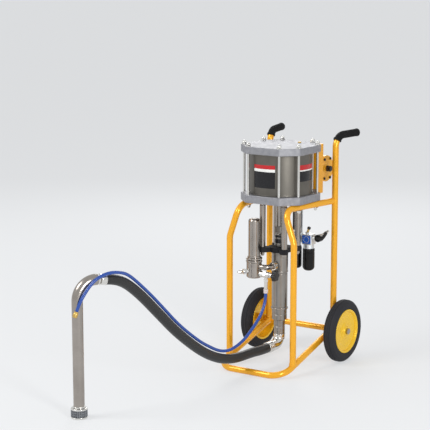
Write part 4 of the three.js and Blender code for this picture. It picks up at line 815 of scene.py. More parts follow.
def make_cords():
    hose = smooth_line(SUCTION_HOSE_ROUTE, 4.0)
    black = piece("suction_hose_skin", "cart", [tube(hose, 19.0, 48, 1.2)], "hose_rubber", ["suction_hose"])

    start = SUCTION_HOSE_ROUTE[0]
    inwards = unit(np.array([0.0, 0.0, 79.0]) - start)
    end = start + inwards * 28.3
    nut = tube([start + inwards * 0.3, start + inwards * 9, start + inwards * 19, end], 21.2, 64)
    rings = [
        tube([start + inwards * (a - 3.4), start + inwards * a, start + inwards * (a + 3.4)], 22.5, 64, 1.4)
        for a in (5.0, 14.2, 23.6)
    ]
    coupling = piece("hose_coupling_rings", "cart", [nut, *rings], "bright_steel", ["hose_coupling"])

    tip = SUCTION_HOSE_ROUTE[-1]
    along = unit(np.array([SUCTION_TUBE_AT[0], SUCTION_TUBE_AT[1], tip[2] + 9.8]) - tip)
    corner = np.array([SUCTION_TUBE_AT[0], SUCTION_TUBE_AT[1], tip[2] + 9.8])
    ferrule = part_of(np.array([tip + along * 0.3, tip + along * 38]), 0, 37.7, 1.5)
    place = lengths_of(ferrule)
    swell = np.where(place < 24.5, 20.5, 16.0) + np.where(
        (place > 2) & (place < 22), np.abs(np.sin(place * 1.4)) * -0.8, 0
    )
    bend = bent([tip + along * 36, corner, [corner[0], corner[1], 38.3]], 70.0, 4.0)
    pipe = tube(bend, flared(bend, 20.0), 64, 1.0)
    collar = aimed(
        revolved(rows_of((0, -2), (22, -2), (22, 3), (0, 3)), 64, 1.0), "z", (*SUCTION_TUBE_AT, 40.5)
    )
    piece("suction_bend", "cart", [(pipe, 0), (collar, 1)], ["chrome", "bright_steel"], ["suction_tube"])
    clamp = piece("suction_ferrule", "cart", [tube(ferrule, swell, 64, 1.0)], "bright_steel")

    rim = rows_of((20, 31), (29.4, 31), (30, 33), (30, 36), (27, 38), (20, 38))
    foot = rows_of((24, 0.2), (28.5, 0.2), (30, 2), (30, 6), (27, 7), (24, 7))
    cage = [revolved(rim, 64, 1.0, True), revolved(foot, 64, 1.0, True)]
    angle = np.arange(22) / 22 * 2 * np.pi
    cage += [
        tube([[28.2 * math.cos(a), 28.2 * math.sin(a), z] for z in (5, 12, 22, 33)], 1.8, 10, 0.4)
        for a in angle
    ]
    cage += [
        revolved(rows_of((26.4, z - 1.1), (29, z - 1.1), (29, z + 1.1), (26.4, z + 1.1)), 64, 0.4, True)
        for z in (15, 23)
    ]
    inner = revolved(rows_of((0, 1.5), (25, 1.5), (25, 34), (0, 34)), 64, 0.8)
    shapes = [(aimed(g, "z", (*SUCTION_TUBE_AT, 0)), k // 2 and 1) for k, g in enumerate(cage)]
    shapes.append((aimed(inner, "z", (*SUCTION_TUBE_AT, 0)), 1))
    piece("strainer_cage", "cart", shapes, ["bright_steel", "filter_mesh"], ["suction_strainer"])

    line = smooth_line(RETURN_HOSE_ROUTE, 4.0)
    blue = piece("return_hose_skin", "cart", [tube(line, 6.0, 32, 0.8)], "blue_hose", ["return_hose"])
    last = RETURN_HOSE_ROUTE[-1]
    onwards = unit(RETURN_HOSE_ROUTE[-1] - RETURN_HOSE_ROUTE[-2])
    reaches = np.linspace(0.3, 22, 15)
    round_nut = 6.6 + 2.6 * np.sqrt(np.clip(1 - ((reaches - 13) / 9.5) ** 2, 0, 1))
    barb = tube([last + onwards * s for s in reaches], round_nut, 48, 0.6)
    ring = tube([last + onwards * s for s in (1, 3, 5.5)], 7.8, 48, 0.8)
    middle = last + onwards * 12.1
    across = np.array([SUCTION_TUBE_AT[0], SUCTION_TUBE_AT[1], middle[2]]) - middle
    reach = unit(across)
    neck = tube([middle, middle + reach * 8, middle + reach * (np.linalg.norm(across) - 19)], 5.5, 32, 0.8)
    fitting = piece("return_elbow", "cart", [barb, ring, neck], "brass_fitting", ["return_fitting"])


# ---------------------------------------------------------------- cart


def base_height(y):
    return TUBE_RADIUS + (WHEEL_RADIUS - TUBE_RADIUS) / (AXLE_FROM_PUMP - FRONT) * (y - FRONT)


def upright_line(sign):
    return bent(
        [
            (sign * UPRIGHT_X, AXLE_FROM_PUMP, WHEEL_RADIUS + 3),
            (sign * UPRIGHT_X, AXLE_FROM_PUMP, GRIP_HEIGHT), (sign * 177, 290, 908)
        ],
        45.0, 3.0,
    )


def make_cart():
    weld = bpy.context.scene.sprayer_sizes.weld_bead / MM
    base = bent(
        [
            (147, 163, 125), (147, FRONT, TUBE_RADIUS + 0.1), (-147, FRONT, TUBE_RADIUS + 0.1),
            (-147, 163, 125)
        ],
        65.0, 4.0
    )
    radius = flared(base, 12.4, weld, weld, 16)
    piece("base_loop", "cart", [tube(base, radius, 48)], "yellow_paint", ["base_tube"])
    shaft = tube(
        [(-172.5, 163, 125), (-165, 163, 125), (0, 163, 125), (165, 163, 125), (172.5, 163, 125)], 12.5, 48
    )
    piece("axle_sleeve", "cart", [shaft], "yellow_paint", ["axle_tube"])
    for sign, side in ((-1, "left"), (1, "right")):
        line = upright_line(sign)
        line = part_of(line, 0, lengths_of(line)[-1] - 4.5, 4.0)
        piece(
            f"{side}_handle_tube", "cart", [tube(line, flared(line, 12.5, weld, 0, 18), 48)],
            "yellow_paint", [f"{side}_upright"]
        )
        leg = bent(
            [
                (sign * 147, LEG_Y, base_height(LEG_Y) + 4), (sign * 147, LEG_Y, 520),
                (sign * 103, LEG_Y, ARM_HEIGHT), (sign * 146, 163, ARM_HEIGHT),
            ],
            [60.0, 45.0], 4.0,
        )
        shapes = [(tube(leg, flared(leg, 12.5, weld * 1.6, weld, 16), 48), 0)]
        slope = (146 - 103) / (163 - LEG_Y)
        for y in (-50, 50):
            x = sign * (103 + slope * (y - LEG_Y))
            shapes.append((aimed(hex_nut(8, ARM_HEIGHT - 20.5, ARM_HEIGHT - 12.2), "z", (x, y, 0)), 1))
            washer = revolved(rows_of((0, -13.4), (10.5, -13.4), (10.5, -11.6), (0, -11.6)), 48, 0.5)
            shapes.append((aimed(washer, "z", (x, y, ARM_HEIGHT)), 1))
            stud = revolved(rows_of((0, -24), (3.8, -24), (3.8, 13), (0, 13)), 24, 0.6)
            shapes.append((aimed(stud, "z", (x, y, ARM_HEIGHT)), 1))
        piece(f"{side}_leg_tube", "cart", shapes, ["yellow_paint", "bright_steel"], [f"{side}_front_leg"])

        line = upright_line(sign)
        whole = lengths_of(line)[-1]
        arc_start = GRIP_HEIGHT - 45 * math.tan(math.radians(44.35)) - WHEEL_RADIUS - 3
        grip = part_of(line, arc_start + 23.2, whole, 0.9)
        place = lengths_of(grip)
        left = place[-1] - place
        ribs = 0.55 * np.sin(place / 5.2 * 2 * np.pi) * ((place > 16) & (left > 14))
        ring = 2.4 * np.clip(1 - np.abs(place - 6) / 5.0, 0, 1) ** 0.5
        cap = 1.6 * np.clip(1 - np.abs(left - 5) / 6.0, 0, 1) ** 0.5
        shape = 14.4 + ribs + ring + cap
        shape[-4:] -= rows_of(0, 0.6, 1.5, 3.0)
        piece(f"{side}_hand_grip", "cart", [tube(grip, shape, 64, 1.5)], "grip_rubber", [f"{side}_grip"])


def make_wheels():
    sizes = bpy.context.scene.sprayer_sizes
    groove = sizes.tread_groove / MM
    tyre = [(84.1, 0), (84.1, 19), (88.8, 19.2), (90.8, 22.6), (99, 24), (113, 22.2), (120.4, 16.4)]
    tread = [
        (124.2, 11.6), (124.2 - groove, 10.6), (124.2 - groove, 8.6), (125.2, 7.6), (125.2, 2.6),
        (125.2 - groove, 1.6)
    ]
    half = rows_of(*tyre, *tread)
    other = half[::-1] * np.array([1.0, -1.0])
    profile = np.concatenate([half[1:], other[:-1]])
    for sign, side in ((-1, "left"), (1, "right")):
        at = (sign * WHEEL_X, AXLE_FROM_PUMP, WHEEL_RADIUS)
        rubber = revolved(profile, 128, 1.2, True)
        points, ring = rubber
        lowest = points[..., 0].max()
        piece(
            f"{side}_tyre_tread", f"{side}_wheel",
            [aimed((points * (125.0 / lowest if lowest > 125 else 1), ring), "x", at)], "tyre_rubber",
            [f"{side}_tyre"], sharp=50
        )
        disc = rows_of(
            (88, 19.3), (88, 22), (84.5, 22.3), (80.5, 20.5), (77.5, 14.6), (60, 14.2), (56, 12.8),
            (34, 12.8),
            (30, 15.4), (20.5, 16.4), (17, 21.8), (8.5, 22), (8.5, -22), (17, -22), (17, 11.2), (34, 9.8),
            (78, 11.2),
            (80.2, -11), (80.5, -22.3), (88, -22.3), (88, -19.3), (83.6, -19.3), (83.6, 19.3),
        )
        outwards = disc * np.array([1.0, sign])
        piece(
            f"{side}_wheel_disc", f"{side}_wheel", [aimed(revolved(outwards, 96, 1.1, True), "x", at)],
            "wheel_paint", [f"{side}_wheel_rim"]
        )
    nuts = []
    for sign in (-1, 1):
        nuts.append((aimed(hex_nut(13, 217.6, 225.0), "x" if sign > 0 else "-x", (0, 163, 125)), 0))
        dome = revolved(rows_of((0, 224.5), (9.5, 224.5), (9.5, 225.2), (0, 225.3)), 48, 0.3)
        nuts.append((aimed(dome, "x" if sign > 0 else "-x", (0, 163, 125)), 0))
    shaft = revolved(rows_of((0, -224.6), (8, -224.6), (8, 0), (8, 224.6), (0, 224.6)), 40, 0.6)
    nuts.append((aimed(shaft, "x", (0, 163, 125)), 0))
    piece("axle_and_nuts", "cart", nuts, "chrome", ["axle"])


# ---------------------------------------------------------------- motor


def plate_outline():
    far, near = PLATE_HALF_WIDTH, PLATE_HALF_WIDTH - PLATE_CHAMFER
    corners = rows_of(
        (far, -near), (far, near), (near, far), (-near, far), (-far, near), (-far, -near), (-near, -far),
        (near, -far)
    )
    return eased(corners, 5.0, closed=True, steps=6)


def make_motor():
    outline = plate_outline()
    rods = [
        (aimed(revolved(rows_of((0, 680), (5, 680), (5, 860), (0, 860)), 32, 0.5), "z", (x, y, 0)), 1)
        for x, y in TIE_ROD_PLACES
    ]
    lower = slab(outline, MOTOR_LOW, MOTOR_LOW + LOWER_PLATE_THICKNESS, PLATE_EASE)
    piece(
        "motor_lower_plate", "cart", [(lower, 0), *rods], ["cast_metal", "bright_steel"],
        ["motor_bottom_plate"]
    )
    nuts = []
    for x, y in TIE_ROD_PLACES:
        washer = revolved(rows_of((0, 877), (11.5, 877), (11.5, 879.6), (0, 879.6)), 40, 0.5)
        angle = np.radians(np.linspace(0, 90, 9))
        dome = np.c_[8.6 * np.cos(angle), 885.2 + 8.3 * np.sin(angle)]
        dome[-1, 0] = 0
        cap = revolved(np.concatenate([rows_of((0, 882), (8.6, 882)), dome]), 40, 0)
        nuts += [(aimed(g, "z", (x, y, 0)), 1) for g in (washer, hex_nut(10, 879.6, 886.4), cap)]
    upper = slab(outline, UPPER_PLATE_LOW, UPPER_PLATE_TOP, PLATE_EASE)
    plug = revolved(rows_of((0, 877), (7, 877), (7, 881), (5, 882.5), (0, 882.5)), 40, 0.6)
    nuts.append((aimed(plug, "z", (38, 77, 0)), 2))
    piece(
        "motor_upper_plate", "cart", [(upper, 0), *nuts], ["cast_metal", "bright_steel", "brass_fitting"],
        ["motor_top_plate"]
    )

    wall = rows_of(
        (119, 689.7), (125, 689.7), (125, 693), (124.6, 694.2), (124.6, 845.2), (125, 846.4), (125, 849.7),
        (119, 849.7)
    )
    piece("motor_barrel", "cart", [revolved(wall, 160, 0.5, True)], "brushed_steel", ["motor_cylinder"])
    bands = [("label_red", 795, 810), ("label_white", 784, 795), ("label_black", 721, 784)]
    finishes = [name for name, low, high in bands]
    front = [
        (wrapped_plate(CYLINDER_RADIUS, -111.8, -68.0, low, high), k)
        for k, (name, low, high) in enumerate(bands)
    ]
    piece("front_plate_bare", "cart", front, finishes)
    bands = [("label_red", 790, 809), ("label_white", 785, 790), ("label_black", 745, 785)]
    side = [
        (wrapped_plate(CYLINDER_RADIUS, -23.0, 19.6, low, high), k)
        for k, (name, low, high) in enumerate(bands)
    ]
    piece("side_plate_bare", "cart", side, finishes)
    rod = rows_of((0, 543), (9, 543), (9, 555.6), (18, 555.6), (18, 692), (9, 692), (9, 729), (0, 729))
    piece(
        "motor_rod", "pump_drive", [revolved(rod, 64, 0.8), hex_nut(18, 729, 737)], "chrome", ["piston_rod"]
    )


def make_valve():
    outline = eased(
        rows_of((90, 137.3), (90, 174.3), (85, 179.3), (-85, 179.3), (-90, 174.3), (-90, 137.3)), 3.0,
        closed=True
    )
    piece("rear_manifold", "cart", [slab(outline, MANIFOLD_LOW, MANIFOLD_TOP, 2.0)], "yellow_paint", ["valve_manifold"])
    barrel = rows_of((0, -62), (47, -62), (47, -54), (44, -50), (44, 50), (47, 54), (47, 62), (0, 62))
    neck = slab(rectangle(100, 50, 6, (0, 204.6)), 724, 800, 2.0)
    piece(
        "valve_barrel", "cart", [aimed(revolved(barrel, 96, 1.5), "x", VALVE_AT), neck], "yellow_paint",
        ["valve_body"]
    )
    for sign, side in ((-1, "left"), (1, "right")):
        axis = "x" if sign > 0 else "-x"
        disc = rows_of((0, 62.3), (52.5, 62.3), (52.5, 75), (50, 77.3), (20, 77.3), (18, 78.8), (0, 78.8))
        shapes = [(aimed(revolved(disc, 96, 1.2), axis, VALVE_AT), 0)]
        for k in range(COVER_BOLTS):
            a = k * 2 * math.pi / COVER_BOLTS
            across, up = COVER_BOLT_CIRCLE * math.cos(a), COVER_BOLT_CIRCLE * math.sin(a)
            at = (0, VALVE_AT[1] + across, VALVE_AT[2] + up)
            head = revolved(
                rows_of((0, 77), (5.4, 77), (5.4, 81.3), (2.9, 81.3), (2.9, 79), (0, 79)), 32, 0.4
            )
            shapes.append((aimed(head, axis, at), 1))
        piece(f"{side}_end_cover", "cart", shapes, ["yellow_paint", "dark_steel"], [f"{side}_valve_cover"])
    button = rows_of(
        (0, 69.5), (11.8, 69.5), (11.8, 84), (10.6, 85), (10.6, 88), (11.8, 89), (11.8, 94), (9, 97.2),
        (0, 97.2)
    )
    piece(
        "reset_knob", "button", [aimed(revolved(button, 64, 1.0), "x", VALVE_AT)], "black_plastic",
        ["reset_button"]
    )


# ---------------------------------------------------------------- pump


def make_pump():
    for k, (x, y) in enumerate(PUMP_ROD_PLACES, 1):
        rod = rows_of(
            (0, 439.5), (6, 439.5), (6, 474.3), (12, 474.3), (12, 640), (10.6, 642), (10.6, 646), (12, 648),
            (12, 659.1), (0, 659.1)
        )
        shapes = [
            aimed(revolved(rod, 56, 0.9), "z", (x, y, 0)), aimed(hex_nut(9.2, 443.7, 453.7), "z", (x, y, 0))
        ]
        piece(f"pump_post_{k}", "cart", shapes, "chrome", [f"pump_tie_rod_{k}"])
    phi = np.arange(240) / 240 * 2 * np.pi
    lobe = (phi % (np.pi / 2)) - np.pi / 4
    # a round plate with an arm to each post: beside the arm's line, and round its end
    across = EAR_RADIUS / np.maximum(np.abs(np.sin(lobe)), 1e-6)
    half_chord = np.sqrt(np.maximum(EAR_RADIUS**2 - (EAR_CIRCLE * np.sin(lobe)) ** 2, 0))
    beyond = EAR_CIRCLE * np.cos(lobe) + half_chord
    ear = np.where(across * np.cos(lobe) <= EAR_CIRCLE, across, beyond)
    plate = polar_slab(np.maximum(FLANGE_RADIUS, ear), FLANGE_LOW, FLANGE_TOP, 1.6)
    piece("pump_flange_plate", "cart", [plate], "dark_plate", ["pump_flange"])

    housing = rows_of(
        (15, 372), (33, 372), (33, 376), (32, 377.5), (32, 444), (33, 445.5), (33, 453.7), (20, 453.7),
        (20, 478), (15, 478)
    )
    piece("outlet_block", "cart", [revolved(housing, 80, 1.0, True)], "turned_steel", ["outlet_housing"])
    columns = 192
    angle = np.arange(columns) / columns * 2 * np.pi
    slots = 1 - 0.13 * (np.cos(angle * 8) > 0.55)
    nut = [
        (revolved(rows_of((14.6, 478.3), (22, 478.3), (22, 489), (14.6, 489)), 80, 1.0, True), 0),
        (polar_slab(21.0 * slots, 489.2, 505, 0.8), 1),
        (revolved(rows_of((14.6, 505.2), (22, 505.2), (22, 512), (14.6, 512)), 80, 0.8, True), 0),
        (polar_slab(20.4 * slots, 512.2, 520, 0.8), 1),
        (revolved(rows_of((14.6, 520), (20, 520), (16.5, 525.3), (14.6, 525.3)), 80, 0.6, True), 0),
    ]
    piece("packing_gland", "cart", nut, ["turned_steel", "dark_steel"], ["packing_nut"])
    piece("rod_coupler", "pump_drive", [hex_nut(21, 530, 555)], "turned_steel", ["rod_coupling"])
    rod = rows_of(
        (0, 231), (25.6, 231), (25.6, 261), (14, 261), (14, 529.7), (9, 529.7), (9, 542), (0, 542)
    )
    piece("pump_rod", "pump_drive", [revolved(rod, 64, 0.8)], "chrome", ["displacement_rod"])
    barrel = rows_of((26, 230), (31, 230), (31, 366), (30.2, 367.2), (30.2, 370), (31, 371.7), (26, 371.7))
    clamp = rows_of((26, 223), (34, 223), (34, 230), (26, 230))
    piece(
        "pump_barrel", "cart", [(revolved(barrel, 96, 0.8, True), 0), (revolved(clamp, 96, 1.6, True), 1)],
        ["turned_steel", "chrome"], ["pump_cylinder"],
    )
    foot = rows_of(
        (11, 121), (22.5, 121), (22.5, 150), (21.6, 151), (21.6, 154), (22.5, 155), (22.5, 176), (26, 180),
        (30, 180.4),
        (30, 200), (29, 201.2), (29, 204), (30, 205.2), (30, 222.7), (15.5, 222.7), (15.5, 185), (11, 185),
    )
    piece("foot_valve_body", "cart", [revolved(foot, 80, 0.8, True)], "turned_steel", ["foot_valve"])
    inwards = unit(np.array([0.0, 0.0, 79.0]) - SUCTION_HOSE_ROUTE[0])
    end = SUCTION_HOSE_ROUTE[0] + inwards * 28.6
    line = bent([(0, 0, 120.7), (0, 0, 79), end], 36.0, 3.0)
    collar = [
        revolved(rows_of((15, 106.7), (24, 106.7), (24, 120.7), (15, 120.7)), 72, 1.6, True),
        revolved(rows_of((20, 99), (23, 99), (23, 104), (20, 104)), 72, 1.0, True),
    ]
    piece("inlet_bend", "cart", [tube(line, 21.5, 64), *collar], "bright_steel", ["inlet_elbow"])


# ---------------------------------------------------------------- filter and drain


def make_filter():
    body = rows_of(
        (0, 357), (25.5, 357), (30.5, 362), (30.5, 418), (29.4, 419), (29.4, 420.5), (32.5, 420.5),
        (32.5, 427), (23.5, 427), (23.5, 430.7), (0, 430.7)
    )
    cap = rows_of(
        (0, 431), (32.5, 431), (32.5, 437.5), (23.5, 437.5), (23.5, 583), (20.5, 590), (16, 592), (0, 592)
    )
    piece(
        "filter_bowl", "cart", [aimed(revolved(body, 96, 0.9), "z", FILTER_AT)], "chrome", ["filter_body"]
    )
    flats = aimed(
        revolved(rows_of((0, 437.5), (26.5, 437.5), (26.5, 444), (0, 444)), 64, 0.8), "z", FILTER_AT
    )
    piece(
        "filter_tube", "cart", [aimed(revolved(cap, 96, 0.9), "z", FILTER_AT), flats], "chrome",
        ["filter_cap"]
    )

    heading = unit((-0.45, -0.89, 0.0))
    at = np.array([FILTER_AT[0], FILTER_AT[1], SPRAY_OUTLET_HEIGHT])
    shank = rows_of((0, 26), (10, 26), (10, 36), (0, 36))
    cone = rows_of(
        (0, 48), (7.4, 48), (7.4, 52), (8, 53), (8, 62), (7.2, 64), (4.2, 73.4), (2.4, 73.4), (2.4, 70),
        (0, 70)
    )
    shapes = [revolved(shank, 48, 0.8), hex_nut(11.5, 36, 49.5), revolved(cone, 64, 0.6)]
    piece("spray_nipple", "cart", [aimed(g, heading, at) for g in shapes], "bright_steel", ["spray_outlet"])

    line = bent([(0, y, OUTLET_HEIGHT) for y in (-31, -90)] + [(-36, -90, OUTLET_HEIGHT)], 24.0, 3.0)
    angle = np.arange(96) / 96 * 2 * np.pi
    knurled = polar_slab(15.6 + 0.7 * np.cos(angle * 24), -56.5, -37.5, 1.2)
    edge = revolved(rows_of((0, -60), (13, -60), (13, -56), (0, -56)), 48, 0.8)
    at = (0, 0, OUTLET_HEIGHT)
    piece(
        "outlet_bend", "cart",
        [(tube(line, 11, 48), 0), (aimed(knurled, "y", at), 1), (aimed(edge, "y", at), 0)],
        ["chrome", "bright_steel"], ["outlet_connector"],
    )

    at = (FILTER_AT[0], FILTER_AT[1], DRAIN_HEIGHT)
    body = rows_of(
        (0, 29), (12, 29), (12, 40), (11, 41), (11, 46), (12, 47), (12, 72.5), (8, 72.5), (8, 88.5),
        (0, 88.5)
    )
    shapes = [aimed(revolved(body, 56, 0.8), "x", at), aimed(hex_nut(14, 48, 58), "x", at)]
    piece("drain_cock", "cart", shapes, "bright_steel", ["drain_valve"])
    angle = np.arange(192) / 192 * 2 * np.pi
    edge = 20.2 + 2.3 * np.cos(angle * 6)
    knob = polar_slab(edge, 89.1, 105.1, 2.6)
    face = revolved(rows_of((0, 104.5), (9, 104.5), (8, 106.4), (0, 106.4)), 48, 0.7)
    stem = revolved(rows_of((0, 74), (4.4, 74), (4.4, 91), (0, 91)), 32, 0.5)
    piece(
        "drain_wheel", "drain_handle", [aimed(g, "x", at) for g in (knob, face, stem)], "black_plastic",
        ["drain_knob"]
    )

    pipe = rows_of((0, 315), (7, 315), (7, 372), (0, 372))
    ferrule = rows_of(
        (0, 300.3), (9, 300.3), (9, 303), (8.2, 304.2), (8.2, 306), (9, 307), (9, 315.5), (0, 315.5)
    )
    at = (-8, -90, 0)
    piece(
        "drain_tail", "cart",
        [
            (aimed(revolved(pipe, 40, 0.5), "z", at), 0), (aimed(hex_nut(9.2, 345, 355), "z", at), 0),
            (aimed(revolved(ferrule, 48, 0.8), "z", at), 1)
        ],
        ["bright_steel", "ferrule_plastic"], ["drain_pipe"],
    )


# ---------------------------------------------------------------- air unit


def make_air_unit():
    block = slab(rectangle(44, 38, 5, (REGULATOR_X, AIR_Y)), 474, 516, 2.2)
    link = slab(rectangle(14, 22, 3, (43.6, AIR_Y)), 482, 508, 1.2)
    neck = aimed(
        revolved(rows_of((0, 456), (21, 456), (21, 475), (0, 475)), 64, 0.8), "z", (REGULATOR_X, AIR_Y, 0)
    )
    tilt = math.radians(20)
    stem_way = (math.sin(tilt), 0, math.cos(tilt))
    stem_at = (REGULATOR_X - 8, AIR_Y, 516)
    boss = aimed(revolved(rows_of((0, -6), (8, -6), (8, 6), (0, 6)), 48, 1.0), stem_way, stem_at)
    panel = aimed(slab(rectangle(38, 32, 3), 18.6, 19.6, 0.4), "-y", (REGULATOR_X, AIR_Y, 495))
    rim = aimed(
        revolved(rows_of((11.2, 19.4), (13, 19.4), (13, 20.6), (11.2, 20.6)), 48, 0.3, True), "-y",
        (REGULATOR_X, AIR_Y, 495)
    )
    piece(
        "regulator_block", "cart", [(block, 0), (link, 0), (neck, 0), (boss, 0), (panel, 1), (rim, 0)],
        ["silver_body", "panel_blue"], ["regulator_body"],
    )
    body = slab(rectangle(38, 38, 5, (LUBRICATOR_X, AIR_Y)), 474, 516, 2.2)
    at = (LUBRICATOR_X, AIR_Y, 0)
    neck = aimed(revolved(rows_of((0, 456), (16, 456), (16, 475), (0, 475)), 64, 0.8), "z", at)
    angle = np.radians(np.linspace(0, 90, 9))
    dome = np.c_[8.5 * np.cos(angle), 519.5 + 7.0 * np.sin(angle)]
    dome[-1, 0] = 0
    sight = revolved(np.concatenate([rows_of((0, 515), (9, 515), (9, 519)), dome]), 48, 0)
    piece(
        "lubricator_block", "cart",
        [(body, 0), (neck, 0), (aimed(sight, "z", (LUBRICATOR_X + 2, AIR_Y, 0)), 1)],
        ["silver_body", "sight_glass"], ["lubricator_body"],
    )
    for name, x, radius, low, node in (
        ("regulator_cup", REGULATOR_X, 24.0, 367.7, "regulator_bowl"),
        ("lubricator_cup", LUBRICATOR_X, 19.0, 371.7, "lubricator_bowl"),
    ):
        round_end = radius * 0.7
        turn = np.radians(np.linspace(-90, 0, 10))
        foot = np.c_[
            radius - round_end + round_end * np.cos(turn), low + round_end + round_end * np.sin(turn)
        ]
        cup = np.concatenate(
            [
                rows_of((0, low)), foot,
                rows_of(
                    (radius, 440), (radius, 441.5), (radius - 1.2, 442.5), (radius - 1.2, 445),
                    (radius, 446), (radius, 455.7), (0, 455.7)
                )
            ]
        )
        shapes = [(aimed(revolved(cup, 80, 0), "z", (x, AIR_Y, 0)), 0)]
        ring = revolved(
            rows_of((radius - 4, 454.2), (radius - 1.5, 454.2), (radius - 1.5, 458), (radius - 4, 458)), 64,
            0.6, True
        )
        shapes.append((aimed(ring, "z", (x, AIR_Y, 0)), 1))
        drain = revolved(rows_of((0, low - 0.0), (4.5, low), (4.5, low + 4), (0, low + 4)), 32, 0.6)
        shapes.append((aimed(drain, "z", (x, AIR_Y, 0)), 1))
        piece(name, "cart", shapes, ["gloss_black", "dark_steel"], [node])

    stem = revolved(rows_of((0, -3.6), (2.2, -3.6), (2.2, 6.5), (4.5, 6.5), (4.5, 20), (0, 20)), 40, 0.5)
    head = revolved(rows_of((0, 20), (7, 20), (7, 27), (5, 29), (0, 29)), 48, 0.9)
    piece(
        "pressure_stem", "pressure_knob",
        [(aimed(stem, stem_way, stem_at), 0), (aimed(head, stem_way, stem_at), 1)],
        ["brass_fitting", "black_plastic"], ["regulator_knob"],
    )

    valve_at = np.array([118.0, AIR_Y, 503.0])
    drum = revolved(rows_of((0, -13), (13, -13), (15, -11), (15, 11), (13, 13), (0, 13)), 72, 1.0)
    inlet = tube([(93.6, AIR_Y, 500), (98, AIR_Y, 500.5), (108, AIR_Y, 502)], 8.0, 48)
    lift = math.radians(38)
    way = np.array([math.cos(lift), 0, math.sin(lift)])
    nipple = rows_of(
        (0, 8), (9, 8), (9, 20), (6, 21), (6, 28), (7, 29), (6, 33), (7, 34), (6, 38), (7, 39), (5, 48),
        (4, 55.5), (0, 55.5)
    )
    piece(
        "air_cock", "cart",
        [
            (aimed(drum, "y", valve_at), 1), (inlet, 0),
            (aimed(revolved(nipple, 48, 0.5), way, valve_at), 0),
            (aimed(hex_nut(10, 13, 19.5), way, valve_at), 0)
        ],
        ["bright_steel", "gloss_black"], ["air_valve"],
    )
    arm = [(112.4, 84.7, 503), (126, 84.7, 503.4), (141, 84.7, 506.5), (149.5, 84.7, 515), (160, 84.7, 532)]
    arm = smooth_line(arm, 2.0)
    lever = tube(arm, 6.4, 32, 1.0)
    squeezed = lever[0] * np.array([1.0, 0.0, 1.0]) + np.array([0.0, 1.0, 0.0]) * (
        84.7 + (lever[0][..., 1:2] - 84.7) * 0.37
    )
    hub = aimed(revolved(rows_of((0, -2), (7, -2), (7, 2), (0, 2)), 48, 0.6), "y", (118, 84.7, 503))
    piece("air_cock_lever", "valve_lever", [(squeezed, False), hub], "black_plastic", ["air_valve_lever"])

    strap = slab(rectangle(16, 4, 1.0, (22, 121.3)), 474, 659.1, 0.5)
    foot = slab(rectangle(16, 14, 2.0, (22, 116.3)), 655.2, 659.1, 0.5)
    piece("air_strap", "cart", [strap, foot], "silver_body", ["air_bracket"])
    at = (6, AIR_Y, 0)
    hose = tube([(6, AIR_Y, z) for z in (526, 540, 590, 640, 650)], 8.5, 48)
    ends = [hex_nut(10.5, 516.3, 527), hex_nut(10.5, 648, 659)]
    piece(
        "air_line", "cart", [(hose, 0), *[(aimed(g, "z", at), 1) for g in ends]],
        ["hose_rubber", "bright_steel"], ["air_hose"],
    )


def make_inner_parts():
    refinish("air_piston", "cast_metal")
    refinish("valve_spool", "chrome")
    refinish("inlet_ball", "chrome")
    refinish("filter_element", "filter_mesh")


# ---------------------------------------------------------------- the add-on


class SprayerSizes(bpy.types.PropertyGroup):
    """Sizes of the finished surfaces that the solids leave open"""

    weld_bead: bpy.props.FloatProperty(
        name="Weld bead", description="How far a weld stands proud where frame tubes meet",
        default=0.0016, min=0.0, max=0.004, subtype="DISTANCE", unit="LENGTH",
    )
    tread_groove: bpy.props.FloatProperty(
        name="Tread groove", description="Depth of the grooves round each tyre",
        default=0.0016, min=0.0, max=0.004, subtype="DISTANCE", unit="LENGTH",
    )


class SprayerColours(bpy.types.PropertyGroup):
    """Colours that a user would change"""

    paint: bpy.props.FloatVectorProperty(
        name="Frame paint", description="Paint of the cart's tubes and the reversing valve",
        default=written(250, 172, 0)[:3], size=3, min=0.0, max=1.0, subtype="COLOR",
    )
    wheels: bpy.props.FloatVectorProperty(
        name="Wheel paint", description="Paint of the pressed wheel discs",
        default=written(255, 230, 22)[:3], size=3, min=0.0, max=1.0, subtype="COLOR",
    )
    return_hose: bpy.props.FloatVectorProperty(
        name="Return hose", description="Colour of the thin return hose",
        default=written(26, 44, 148)[:3], size=3, min=0.0, max=1.0, subtype="COLOR",
    )


class SprayerView(bpy.types.PropertyGroup):
    """Camera and studio light"""

    azimuth: bpy.props.FloatProperty(
        name="Azimuth", description="Turn of the camera round the sprayer",
        default=math.radians(34.3776), subtype="ANGLE", unit="ROTATION",
    )
    pitch: bpy.props.FloatProperty(
        name="Pitch", description="How far the camera looks down",
        default=math.radians(11.3665), subtype="ANGLE", unit="ROTATION",
    )
    focal_length: bpy.props.FloatProperty(
        name="Focal length", description="Of the camera, in millimetres", default=125.566, unit="CAMERA",
    )
    key_power: bpy.props.FloatProperty(
        name="Key light", description="Power of the main soft light, in watts", default=90.0, min=0.0,
        unit="POWER",
    )
    ambient: bpy.props.FloatProperty(
        name="Ambient light", description="Strength of the even light all round", default=0.58, min=0.0,
        max=2.0,
    )


class SPRAYER_OT_stage(bpy.types.Operator):
    """Camera, floor and studio light"""

    bl_idname = "sprayer.stage"
    bl_label = "Stage"
    bl_options = {"REGISTER", "UNDO"}

    def execute(self, context):
        make_stage()
        return {"FINISHED"}


class SPRAYER_OT_hoses(bpy.types.Operator):
    """The suction and return hoses with their end pieces"""

    bl_idname = "sprayer.hoses"
    bl_label = "Hoses"
    bl_options = {"REGISTER", "UNDO"}

    def execute(self, context):
        make_cords()
        return {"FINISHED"}


class SPRAYER_OT_cart(bpy.types.Operator):
    """The bent tubes of the cart and its hand grips"""

    bl_idname = "sprayer.cart"
    bl_label = "Cart"
    bl_options = {"REGISTER", "UNDO"}

    def execute(self, context):
        make_cart()
        return {"FINISHED"}


